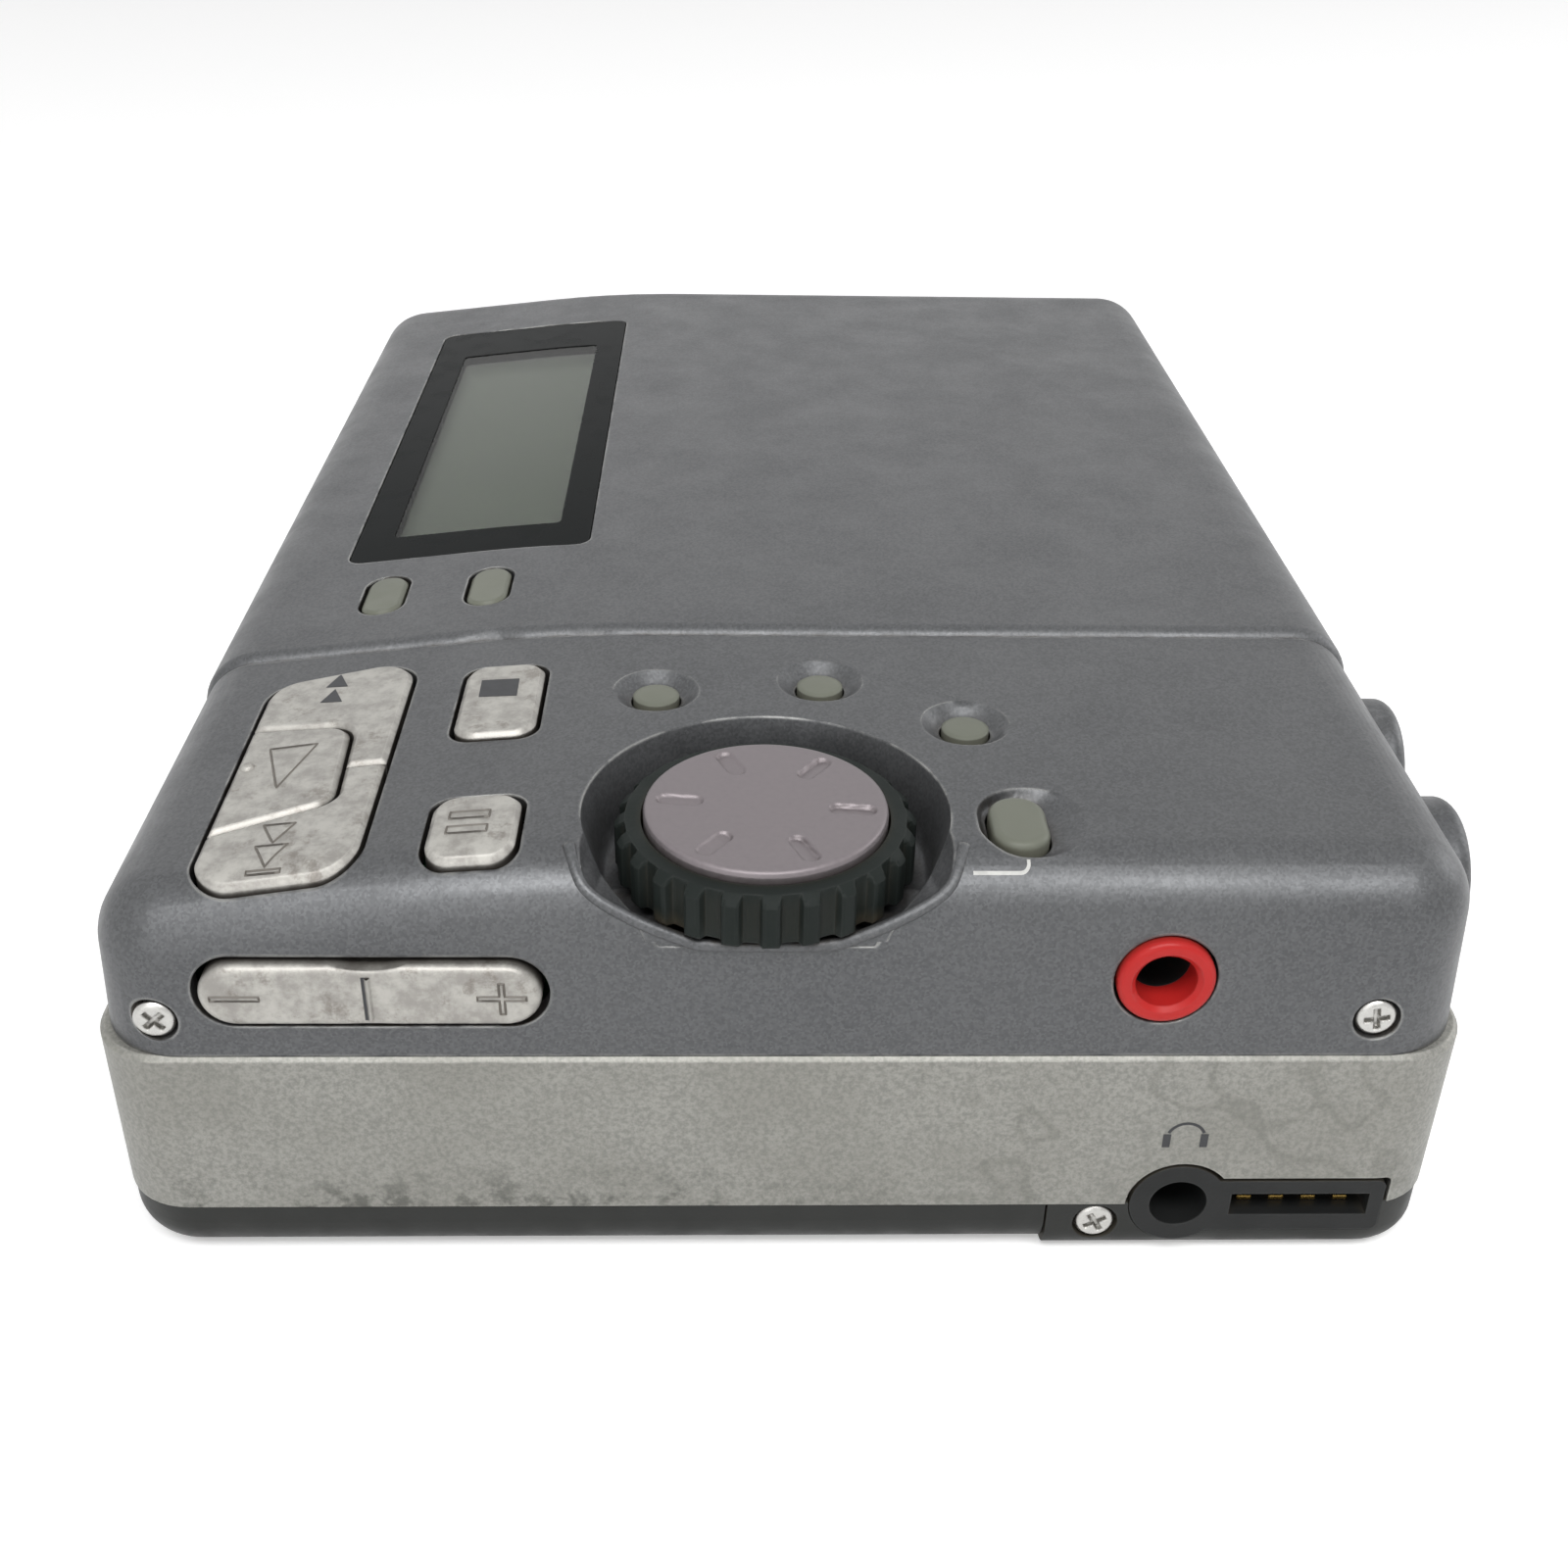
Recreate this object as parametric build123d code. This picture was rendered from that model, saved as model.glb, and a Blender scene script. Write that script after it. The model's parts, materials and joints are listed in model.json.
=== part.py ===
from build123d import *
import math
import os

# Portable minidisc player, modelled closed and standing on its base.
# Millimetres. X to the right, Y away from the jack end, Z up. The origin is on the
# base plane, in the middle of the case's plan outline.

# Case
WIDTH = 82.4
DEPTH = 115.0
HEIGHT = 28.9
BASE_TOP = 4.4
PARTING = 16.2
SEAM = -27.0
SEAM_GAP = 0.1
FRONT_DROP = 0.3
WALL = 1.4
BAND_WALL = 1.6
BAND_CORNER = 4.6
UPPER_CORNER = 5.2
UPPER_INSET = 0.2
FRONT_INSET = 0.45
LEAN = 3.0
TOP_ROUND = 4.4
SLOPE_START = -16.0
SLOPE = 0.118
SLOPE_BLEND = 110.0
LID_GAP = 0.15

# Lid hinge at the far end
HINGE_Y = 55.9
HINGE_Z = 17.65
KNUCKLE_R = 1.3
PIN_R = 0.5
RUNNING = 0.05
EAR_X = 26.0
EAR_WIDTH = 6.0

# Disc cartridge bay: room for a 72 x 68 x 5 cartridge
BAY_HALF = 36.5
BAY_NEAR = -24.3
BAY_FAR = 46.5
BAY_FLOOR = 17.3
BAY_TOP = 23.1
SHEET = 0.5
DISC_Y = 11.5

# Jog dial
DIAL_X = -1.3
DIAL_Y = -49.5
RING_R = 9.1
CAP_R = 7.25
RING_BOTTOM = 24.8
RING_TOP = 28.1
CAP_TOP = 28.8
TEETH = 24
DIMPLES = 6
DIMPLE = (3.8, 5.8, 0.58)
DIMPLE_DEPTH = 0.3
DISH_TOP_R = 10.9
DISH_LOW_R = 9.6
DISH_FLOOR = 23.9

# Keys
KEY_GAP = 0.25
KEY_PROUD = 0.35
KEY_LOW = 24.6
KEY_STEM_LOW = 19.7
BOARD_TOP = 17.6

# Jacks
JACK_BORE_R = 1.8
MIC = (21.8, 21.6)
MIC_RING_R = 2.87
PHONES = (24.65, 4.4)
LINE_Y = (-32.3, -45.2)
LINE_Z = 21.2
BOSS_R = 4.8
BOSS_END = 42.2

# Battery bay
DOOR_RIGHT = 16.4
DOOR_AXIS_Y = -27.75
DOOR_AXIS_Z = 1.5
DOOR_LIFT = 0.15
EAR_ROUND = 1.6

# Pickup drive
ROD_Z = 10.0
ROD_R = 0.75
ROD_SHIFT = 11.5
LEAD_R = 1.2
SCREW_Y = 28.0
SCREW_Z = 9.5
GEAR_TEETH = 32
PINION_TEETH = 10
MODULE = 0.25
LENS_X = 14.5


def box(x0, x1, y0, y1, z0, z1):
    return Pos((x0 + x1) / 2, (y0 + y1) / 2, (z0 + z1) / 2) * Box(x1 - x0, y1 - y0, z1 - z0)


def rod(start, direction, radius, length):
    return extrude(Plane(origin=start, z_dir=direction) * Circle(radius), amount=length)


def tube(start, direction, outer, inner, length):
    return rod(start, direction, outer, length) - rod(start, direction, inner, length)


def plate(x0, x1, y0, y1, z0, z1, corner):
    outline = Pos((x0 + x1) / 2, (y0 + y1) / 2, z0) * RectangleRounded(x1 - x0, y1 - y0, corner)
    return extrude(outline, amount=z1 - z0)


def pill(x, y, width, length, z0, z1):
    """An upright block with half-round ends along Y."""
    return plate(x - width / 2, x + width / 2, y - length / 2, y + length / 2, z0, z1, width / 2 - 0.01)


def unshared(edges):
    """The edges that only one of the given faces owns."""
    seen = {}
    for edge in edges:
        centre = edge.center()
        key = (round(centre.X, 3), round(centre.Y, 3), round(centre.Z, 3))
        seen.setdefault(key, []).append(edge)
    return [found[0] for found in seen.values() if len(found) == 1]


def upper_form(side, end, top, edge, corner=UPPER_CORNER, bottom=PARTING):
    """The case above the parting line: leaning walls, a top that falls away to the left, round rims."""
    outline = Plane.XY.offset(bottom) * RectangleRounded(2 * side, 2 * end, corner)
    form = extrude(outline, amount=top - bottom + 0.5, taper=LEAN)
    form -= box(-60, 60, -80, 80, top, top + 5)
    fall = SLOPE * 40
    wedge = Polyline((SLOPE_START, top), (SLOPE_START - 40, top - fall), (SLOPE_START - 40, top + 5),
                     (SLOPE_START, top + 5), close=True)
    form -= extrude(make_face(Plane.XZ * wedge), amount=80, both=True)
    crease = [edge for edge in form.edges().filter_by(Axis.Y) if abs(edge.center().X - SLOPE_START) < 0.01]
    form = fillet(crease, SLOPE_BLEND)
    tops = [face for face in form.faces() if face.normal_at().Z > 0.9]
    return fillet(unshared([edge for face in tops for edge in face.edges()]), edge)


def lid_form(drop):
    """The lid's own surface, or the same surface lowered by drop."""
    return upper_form(WIDTH / 2 - UPPER_INSET, DEPTH / 2 - UPPER_INSET, HEIGHT - drop, TOP_ROUND)


def front_form(rise=0.0):
    return upper_form(WIDTH / 2 - FRONT_INSET, DEPTH / 2 - UPPER_INSET, HEIGHT - FRONT_DROP + rise, TOP_ROUND)


def hollow_form(side_inset, top):
    """What is taken out of a casing: the outer form drawn in by the wall."""
    side = WIDTH / 2 - side_inset - WALL
    end = DEPTH / 2 - UPPER_INSET - WALL
    return upper_form(side, end, top - WALL, TOP_ROUND - WALL, corner=UPPER_CORNER - WALL)


def prism(outline, z0, z1):
    return extrude(Plane.XY.offset(z0) * outline, amount=z1 - z0)


# ---------------------------------------------------------------- key outlines
def cluster_outline(grow=0.0):
    corners = [(-34.2, -31.4), (-24.7, -29.4), (-24.7, -54.6), (-34.2, -54.9)]
    face = fillet(make_face(Polyline(*corners, close=True)).vertices(), 2.4)
    return offset(face, grow) if grow else face


def play_outline(grow=0.0):
    corners = [(-36.5, -37.4), (-27.7, -38.1), (-27.2, -47.2), (-36.5, -50.6)]
    face = fillet(make_face(Polyline(*corners, close=True)).vertices(), 1.6)
    return offset(face, grow) if grow else face


SPLIT_Y = -43.2


def half_plane(low, high):
    return Pos(-30, (low + high) / 2) * Rectangle(20, high - low)


def key_solid(outline, stem_x, stem_y):
    """A cap that follows the case's surface, a little proud of it, on a stem down to its switch."""
    cap = prism(outline, KEY_LOW, HEIGHT + 2) & front_form(KEY_PROUD)
    top = [face for face in cap.faces() if face.normal_at().Z > 0.7 and face.center().Z > 26]
    cap = chamfer(unshared([edge for face in top for edge in face.edges()]), 0.3)
    return cap + rod((stem_x, stem_y, KEY_STEM_LOW), (0, 0, 1), 1.1, KEY_LOW - KEY_STEM_LOW + 0.2)


def rewind_outline():
    return (cluster_outline() - play_outline(KEY_GAP)) & half_plane(SPLIT_Y + KEY_GAP / 2, -20)


def forward_outline():
    return (cluster_outline() - play_outline(KEY_GAP)) & half_plane(-60, SPLIT_Y - KEY_GAP / 2)


def square_key(x, y, width, length):
    return Pos(x, y) * RectangleRounded(width, length, 1.5)


STOP = (-18.35, -36.2, 5.2, 9.4)
PAUSE = (-18.25, -51.3, 5.2, 6.4)

# small round buttons: place of each, their size, and the dish they sit in
ROUND_BUTTONS = {
    "record_button": (-8.3, -35.1),
    "end_search_button": (2.5, -33.7),
    "track_mark_button": (11.6, -39.3),
}
BUTTON_R = 1.5
BUTTON_GAP = 0.15
DISH_R = 2.85
DISH_DEPTH = 0.85
TITLE = (13.5, -50.9, 3.4, 5.4)
TITLE_DISH = (14.3, -50.9, 6.5, 7.2)


def round_button(x, y):
    low = HEIGHT - FRONT_DROP - WALL - 1.0
    stem = rod((x, y, KEY_STEM_LOW), (0, 0, 1), 1.0, low - KEY_STEM_LOW)
    flange = rod((x, y, low), (0, 0, 1), BUTTON_R + 0.7, 0.7)
    cap = rod((x, y, low), (0, 0, 1), BUTTON_R, HEIGHT - FRONT_DROP - 0.1 - low)
    cap = fillet(cap.edges().filter_by(GeomType.CIRCLE).sort_by(Axis.Z)[-1], 0.45)
    return stem + flange + cap


def title_button():
    x, y, width, length = TITLE
    low = HEIGHT - FRONT_DROP - WALL - 1.6
    stem = rod((x, y, KEY_STEM_LOW), (0, 0, 1), 1.1, low - KEY_STEM_LOW)
    flange = pill(x, y, width + 1.2, length + 0.6, low, low + 0.7)
    cap = pill(x, y, width, length, low, HEIGHT - FRONT_DROP + 0.1)
    cap = fillet(cap.faces().sort_by(Axis.Z)[-1].edges(), 0.5)
    return stem + flange + cap


def button_dishes():
    top = HEIGHT - FRONT_DROP
    cuts = []
    for x, y in ROUND_BUTTONS.values():
        cone = Pos(x, y, top - DISH_DEPTH / 2) * Cone(BUTTON_R + 0.35, DISH_R, DISH_DEPTH)
        cuts.append(cone + rod((x, y, top - 3), (0, 0, 1), BUTTON_R + BUTTON_GAP, 3))
    x, y, width, length = TITLE
    hole = pill(x, y, width + 2 * BUTTON_GAP, length + 2 * BUTTON_GAP, top - 3, top)
    low = Pos(x, y, top - DISH_DEPTH) * RectangleRounded(width + 0.6, length + 0.6, width / 2)
    high = Pos(TITLE_DISH[0], TITLE_DISH[1], top) * RectangleRounded(TITLE_DISH[2], TITLE_DISH[3], 3.1)
    cuts.append(hole + loft([low, high]))
    return cuts


# ---------------------------------------------------------------- front casing
def dial_well():
    depth = HEIGHT - FRONT_DROP - DISH_FLOOR
    cone = Pos(DIAL_X, DIAL_Y, DISH_FLOOR + depth / 2) * Cone(DISH_LOW_R, DISH_TOP_R, depth)
    return cone


def dial_cup():
    """The wall and floor round the dial's recess, inside the case's own surface."""
    depth = HEIGHT - FRONT_DROP - DISH_FLOOR + 1.2
    cup = Pos(DIAL_X, DIAL_Y, DISH_FLOOR - 1.2 + depth / 2) * Cone(DISH_LOW_R + 0.9, DISH_TOP_R + 1.2, depth)
    return cup & front_form()


ROCKER_X = -23.95
ROCKER_Z = 20.75
ROCKER_LONG = 19.6
ROCKER_TALL = 4.2
ROCKER_PIVOT_Y = -54.6


def rocker_slot():
    slot = Plane.XZ.offset(DEPTH / 2 - 8) * Pos(ROCKER_X, ROCKER_Z) * SlotOverall(ROCKER_LONG + 0.9, ROCKER_TALL + 0.6)
    return extrude(slot, amount=10)


FRONT_SCREWS = [(-36.6, 18.7), (34.6, 18.8)]
SCREW_HEAD_R = 1.23
SCREW_HEAD_TALL = 0.7
SCREW_HOLE_R = 1.43
SCREW_SHANK_R = 0.8


def front_face_y(z):
    """Where the leaning jack-end face is at height z."""
    return -(DEPTH / 2 - UPPER_INSET) + (z - PARTING) * math.tan(math.radians(LEAN))


def front_shell():
    ahead = box(-60, 60, -70, SEAM - SEAM_GAP, 0, 40)
    shell = front_form() & ahead
    inside = hollow_form(FRONT_INSET, HEIGHT - FRONT_DROP) & box(-60, 60, -70, SEAM - SEAM_GAP - 1.2, 0, 40)
    shell -= inside
    shell += dial_cup()
    for y in LINE_Y:
        boss = rod((36.5, y, LINE_Z), (1, 0, 0), BOSS_R, BOSS_END - 36.5)
        shell += fillet(boss.edges().filter_by(GeomType.CIRCLE).sort_by(Axis.X)[-1], 1.0)
    shell -= dial_well()
    shell -= prism(cluster_outline(0.3), 20, 32)
    for x, y, width, length in (STOP, PAUSE):
        shell -= prism(square_key(x, y, width + 0.6, length + 0.6), 20, 32)
    for cut in button_dishes():
        shell -= cut
    shell -= rocker_slot()
    shell -= rod((MIC[0], -60, MIC[1]), (0, 1, 0), 3.05, 6)
    for y in LINE_Y:
        shell -= rod((34, y, LINE_Z), (1, 0, 0), 3.25, 10)
    for x, z in FRONT_SCREWS:
        shell -= rod((x, -60, z), (0, 1, 0), SCREW_HOLE_R, 60 + front_face_y(z) + SCREW_HEAD_TALL)
        shell -= rod((x, -60, z), (0, 1, 0), SCREW_SHANK_R, 7)
    shell -= rod((DIAL_X, DIAL_Y, 20), (0, 0, 1), 2.1, 6)
    return shell


# ---------------------------------------------------------------- middle band
BAY_WALL_Y = (-27.9, -26.6)
BAY_WALL_X = (15.1, 16.4)
DECK_TOP = 15.4
DECK_LOW = 14.6
POSTS = [(-35.5, -22.5), (35.5, -22.5), (-35.5, 51.5), (35.5, 51.5)]
OPEN_SLOT = (-14.0, -2.0, 8.6, 12.4)
HOLD_SLOT = (35.0, 45.0, 8.8, 12.2)
DC_JACK = (-37.5, 10.4)


def socket_outline(grow=0.0):
    """The remote socket seen from the jack end: a round jack ring joined to a long bar."""
    ring = Pos(*PHONES) * Circle(3.05 + grow)
    bar = Pos((26.2 + 37.55) / 2, 4.17) * RectangleRounded(37.55 - 26.2 + 2 * grow, 4.1 + 2 * grow, 0.5)
    return ring + bar


def socket_block(grow, y0, y1):
    return extrude(Plane.XZ.offset(-y0) * socket_outline(grow), amount=-(y1 - y0))


def middle_band():
    outline = RectangleRounded(WIDTH, DEPTH, BAND_CORNER)
    band = prism(outline, BASE_TOP, PARTING)
    rim = band.faces().sort_by(Axis.Z)[-1].edges()
    band = chamfer(rim, 0.3)
    inner = RectangleRounded(WIDTH - 2 * BAND_WALL, DEPTH - 2 * BAND_WALL, BAND_CORNER - BAND_WALL)
    band -= prism(inner, BASE_TOP - 1, PARTING + 1)
    half = WIDTH / 2 - BAND_WALL
    band += box(-half - 0.3, half + 0.3, BAY_WALL_Y[0], BAY_WALL_Y[1], BASE_TOP, DECK_LOW)
    band += box(BAY_WALL_X[0], BAY_WALL_X[1], -DEPTH / 2 + 1, BAY_WALL_Y[0] + 0.3, BASE_TOP, DECK_LOW)
    for x, y in POSTS:
        band += rod((x, y, BASE_TOP), (0, 0, 1), 2.4, DECK_LOW - BASE_TOP)
        wall = math.copysign(half + 0.3, x)
        band += box(min(x, wall), max(x, wall), y - 0.8, y + 0.8, BASE_TOP, DECK_LOW)
        band -= rod((x, y, BASE_TOP - 1), (0, 0, 1), SCREW_SHANK_R, 8)
    for side in (-1, 1):
        band += lid_ear(side * EAR_X)
    band -= socket_block(0.3, -60, -40) & box(-60, 60, -60, -40, BASE_TOP - 1, 20)
    y0, y1, z0, z1 = OPEN_SLOT
    band -= box(-45, -39, y0, y1, z0, z1)
    y0, y1, z0, z1 = HOLD_SLOT
    band -= box(39, 45, y0, y1, z0, z1)
    return band - rod((38, DC_JACK[0], DC_JACK[1]), (1, 0, 0), 3.3, 6)


def lid_ear(x):
    """A knuckle on the far wall that carries a lid hinge pin."""
    neck = box(x - EAR_WIDTH / 2, x + EAR_WIDTH / 2, HINGE_Y - 1.2, HINGE_Y + 1.2, PARTING - 2, HINGE_Z)
    head = rod((x - EAR_WIDTH / 2, HINGE_Y, HINGE_Z), (1, 0, 0), 1.2, EAR_WIDTH)
    return neck + head - rod((x - 5, HINGE_Y, HINGE_Z), (1, 0, 0), PIN_R + RUNNING, 10)


# ---------------------------------------------------------------- base and battery door
BASE_INSET = 0.1


def base_form(edge):
    outline = RectangleRounded(WIDTH - 2 * BASE_INSET, DEPTH - 2 * BASE_INSET, BAND_CORNER)
    form = prism(outline, 0, BASE_TOP)
    return fillet(form.faces().sort_by(Axis.Z)[0].edges(), edge)


def base_hollow():
    inset = 2 * (BASE_INSET + WALL)
    return prism(RectangleRounded(WIDTH - inset, DEPTH - inset, BAND_CORNER - WALL), WALL, BASE_TOP + 1)


SIDE_SCREW = (19.6, 2.75)


def bottom_cover():
    form = base_form(2.0)
    ear = rod((-45, DOOR_AXIS_Y, DOOR_AXIS_Z), (1, 0, 0), EAR_ROUND, 5.4)
    ears = form & (ear + box(-45, -39.6, DOOR_AXIS_Y, -26, 0, BASE_TOP))
    boss = box(DOOR_RIGHT + 0.2, 20.0, -29.6, -26.0, 0.2, 4.0)
    cover = form - base_hollow()
    cover -= box(-50, DOOR_RIGHT + 0.1, -60, -26.2, -1, 5)
    cover += ears
    cover += boss
    for x, y in POSTS:
        cover += rod((x, y, 0.3), (0, 0, 1), 2.4, BASE_TOP - 0.3)
        cover -= rod((x, y, -1), (0, 0, 1), SCREW_HOLE_R, 1.8)
        cover -= rod((x, y, -1), (0, 0, 1), SCREW_SHANK_R, 7)
    cover += box(SIDE_SCREW[0] - 2, SIDE_SCREW[0] + 1.3, -57, -52, 0.8, BASE_TOP)
    x, z = SIDE_SCREW
    cover -= rod((x, -60, z), (0, 1, 0), SCREW_HOLE_R, 60 - DEPTH / 2 + 0.8)
    cover -= rod((x, -60, z), (0, 1, 0), SCREW_SHANK_R, 8)
    cover -= socket_block(0.05, -60, -40) & box(-60, 60, -60, -40, -1, BASE_TOP + 1)
    return cover - rod((-40.5, DOOR_AXIS_Y, DOOR_AXIS_Z), (1, 0, 0), PIN_R, 59.5)


def battery_door():
    form = base_form(3.0) & box(-45, DOOR_RIGHT - 0.05, -60, DOOR_AXIS_Y, DOOR_LIFT, BASE_TOP - 0.1)
    hollow = base_hollow() + box(0, 20, -56, -20, WALL, 6)
    door = form - Pos(0, 0, DOOR_LIFT) * hollow
    door -= box(-45, -39.4, -29.6, -20, -1, 6)
    barrel = rod((-39.4, DOOR_AXIS_Y, DOOR_AXIS_Z), (1, 0, 0), 1.35, 39.4 + DOOR_RIGHT - 0.05)
    door += barrel
    return door - rod((-41, DOOR_AXIS_Y, DOOR_AXIS_Z), (1, 0, 0), PIN_R + RUNNING, 60)


def door_hinge_rod():
    return rod((-40.5, DOOR_AXIS_Y, DOOR_AXIS_Z), (1, 0, 0), PIN_R, 59.5)


def battery():
    pack = plate(-38.6, 14.4, -55.4, -29.7, 2.0, 14.4, 2.0)
    return chamfer(pack.faces().sort_by(Axis.Z)[0].edges(), 0.4)


def battery_contacts():
    spring = box(14.45, 15.1, -33, -31, 5.5, 11.5)
    return [spring, Pos(0, -10, 0) * spring, Pos(0, -20, 0) * spring]


# ---------------------------------------------------------------- lid
WINDOW = (-32.8, -14.2, -12.2, 44.0)
DISPLAY = (-29.9, -16.8, -7.7, 36.5)
MODE = (-28.8, -18.5, 2.9, 6.0)
SHOW = (-21.1, -18.7, 2.9, 6.0)
HOLDER_POSTS = [(-33.5, -20.0), (33.5, -20.0), (-33.5, 42.0), (33.5, 42.0), (5.0, -20.0)]


def lid_shell():
    behind = box(-60, 60, SEAM + SEAM_GAP, 70, PARTING + LID_GAP, 40)
    shell = lid_form(0) & behind
    near = [e for e in shell.edges() if abs(e.center().Y - SEAM - SEAM_GAP) < 0.01 and e.center().Z > 20]
    near = [e for e in near if e.center().Z > HEIGHT - 4.0]
    shell = fillet(near, 1.1)
    shell -= hollow_form(UPPER_INSET, HEIGHT) & box(-60, 60, -70, 70, 0, 40)
    shell += knuckles()
    shell -= rod((-EAR_X - 6, HINGE_Y, HINGE_Z), (1, 0, 0), PIN_R, 12)
    shell -= rod((EAR_X - 6, HINGE_Y, HINGE_Z), (1, 0, 0), PIN_R, 12)
    shell -= far_corner_cut()
    for side in (-1, 1):
        shell -= ear_notch(side * EAR_X)
    for x, y in HOLDER_POSTS:
        shell += rod((x, y, BAY_TOP + SHEET), (0, 0, 1), 1.7, 5) & lid_form(0.5)
    x0, x1, y0, y1 = WINDOW
    shell -= plate(x0, x1, y0, y1, 20, 32, 1.2)
    for x, y, width, length in (MODE, SHOW):
        shell -= pill(x, y, width + 0.5, length + 0.5, 20, 32)
    return shell


def knuckles():
    """Round barrels inside the far wall, each side of both ears."""
    solid = None
    for side in (-1, 1):
        for shift in (-1, 1):
            start = side * EAR_X + shift * (EAR_WIDTH / 2 + 0.2) - (3.4 if shift < 0 else 0)
            barrel = rod((start, HINGE_Y, HINGE_Z), (1, 0, 0), KNUCKLE_R, 3.4)
            web = box(start, start + 3.4, HINGE_Y, HINGE_Y + 1.2, HINGE_Z, HINGE_Z + 2)
            solid = barrel + web if solid is None else solid + barrel + web
    return solid


def far_corner_cut():
    """Clears the lid's lower far edge, so it turns on the hinge without touching the band."""
    block = box(-50, 50, HINGE_Y, 60, 10, HINGE_Z)
    return block - rod((-50, HINGE_Y, HINGE_Z), (1, 0, 0), KNUCKLE_R, 100)


def ear_notch(x):
    half = EAR_WIDTH / 2 + 0.2
    lower = box(x - half, x + half, HINGE_Y - 2.2, 60, 10, HINGE_Z)
    return lower + rod((x - half, HINGE_Y, HINGE_Z), (1, 0, 0), 1.5, 2 * half)


def hinge_pins():
    length = EAR_WIDTH + 2 * 3.0
    return [rod((side * EAR_X - length / 2, HINGE_Y, HINGE_Z), (1, 0, 0), PIN_R, length) for side in (-1, 1)]


def window_slab(bounds, corner, high, low):
    x0, x1, y0, y1 = bounds
    return (plate(x0, x1, y0, y1, 20, 32, corner) & lid_form(high)) - lid_form(low)


def lcd_bezel():
    x0, x1, y0, y1 = WINDOW
    frame = window_slab((x0 + 0.1, x1 - 0.1, y0 + 0.1, y1 - 0.1), 1.1, 0.05, WALL)
    x0, x1, y0, y1 = DISPLAY
    return frame - plate(x0, x1, y0, y1, 20, 32, 0.5)


def lcd_window():
    x0, x1, y0, y1 = DISPLAY
    return window_slab((x0, x1, y0, y1), 0.5, 0.12, 0.9)


def lcd_panel():
    x0, x1, y0, y1 = DISPLAY
    return window_slab((x0 - 1.5, x1 + 1.5, y0 - 2, y1 + 2), 0.4, WALL + 0.1, WALL + 1.3)


def lid_key(place):
    x, y, width, length = place
    cap = pill(x, y, width, length, 25.0, 32) & lid_form(-0.1)
    cap = chamfer([e for e in cap.edges() if e.center().Z > 26.5 and e.bounding_box().size.Z < 1.2], 0.25)
    return cap


def lid_board():
    return plate(-31.5, -13.5, -23.6, -14.0, 23.7, 24.4, 0.6)


def disc_holder():
    """A folded sheet tray: top plate, two side channels with lips, and a stop at the far end."""
    outer = box(-BAY_HALF - SHEET, BAY_HALF + SHEET, BAY_NEAR, BAY_FAR + SHEET, BAY_FLOOR - SHEET, BAY_TOP + SHEET)
    tray = outer - box(-BAY_HALF, BAY_HALF, BAY_NEAR - 1, BAY_FAR, BAY_FLOOR, BAY_TOP)
    tray -= box(-32.5, 32.5, BAY_NEAR - 1, BAY_FAR + 1, BAY_FLOOR - 1, BAY_FLOOR)
    tray -= plate(-26, 30, -14, 34, BAY_TOP - 1, BAY_TOP + 1, 3)
    tray -= box(-14, 14, BAY_FAR - 1, BAY_FAR + 1, BAY_FLOOR, BAY_TOP - 1.5)
    return tray


# ---------------------------------------------------------------- jog dial
def jog_ring():
    ring = rod((DIAL_X, DIAL_Y, RING_BOTTOM), (0, 0, 1), RING_R, RING_TOP - RING_BOTTOM)
    ring = chamfer(ring.edges().filter_by(GeomType.CIRCLE).sort_by(Axis.Z)[-1], 0.5)
    groove = box(RING_R - 0.55, RING_R + 1, -0.42, 0.42, RING_BOTTOM - 1, RING_TOP + 1)
    for number in range(TEETH):
        ring -= Pos(DIAL_X, DIAL_Y, 0) * Rot(0, 0, number * 360 / TEETH) * groove
    ring -= rod((DIAL_X, DIAL_Y, RING_BOTTOM + 1.4), (0, 0, 1), CAP_R + 0.12, 4)
    return ring - rod((DIAL_X, DIAL_Y, 20), (0, 0, 1), 1.5, 8)


def jog_cap():
    cap = rod((DIAL_X, DIAL_Y, RING_BOTTOM + 1.4), (0, 0, 1), CAP_R, CAP_TOP - RING_BOTTOM - 1.4)
    cap = fillet(cap.edges().filter_by(GeomType.CIRCLE).sort_by(Axis.Z)[-1], 0.5)
    inner, outer, half_width = DIMPLE
    dimple = plate(inner, outer, -half_width, half_width, CAP_TOP - DIMPLE_DEPTH, CAP_TOP + 1, half_width - 0.01)
    for number in range(DIMPLES):
        cap -= Pos(DIAL_X, DIAL_Y, 0) * Rot(0, 0, 7 + number * 360 / DIMPLES) * dimple
    return cap


def jog_shaft():
    shaft = rod((DIAL_X, DIAL_Y, 19.2), (0, 0, 1), 1.5, RING_BOTTOM + 1.4 - 19.2)
    return shaft


def jog_encoder():
    body = plate(DIAL_X - 5.5, DIAL_X + 5.5, DIAL_Y - 5.5, DIAL_Y + 5.5, BOARD_TOP, 22.4, 0.8)
    return body - rod((DIAL_X, DIAL_Y, 18.9), (0, 0, 1), 1.55, 5)


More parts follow.
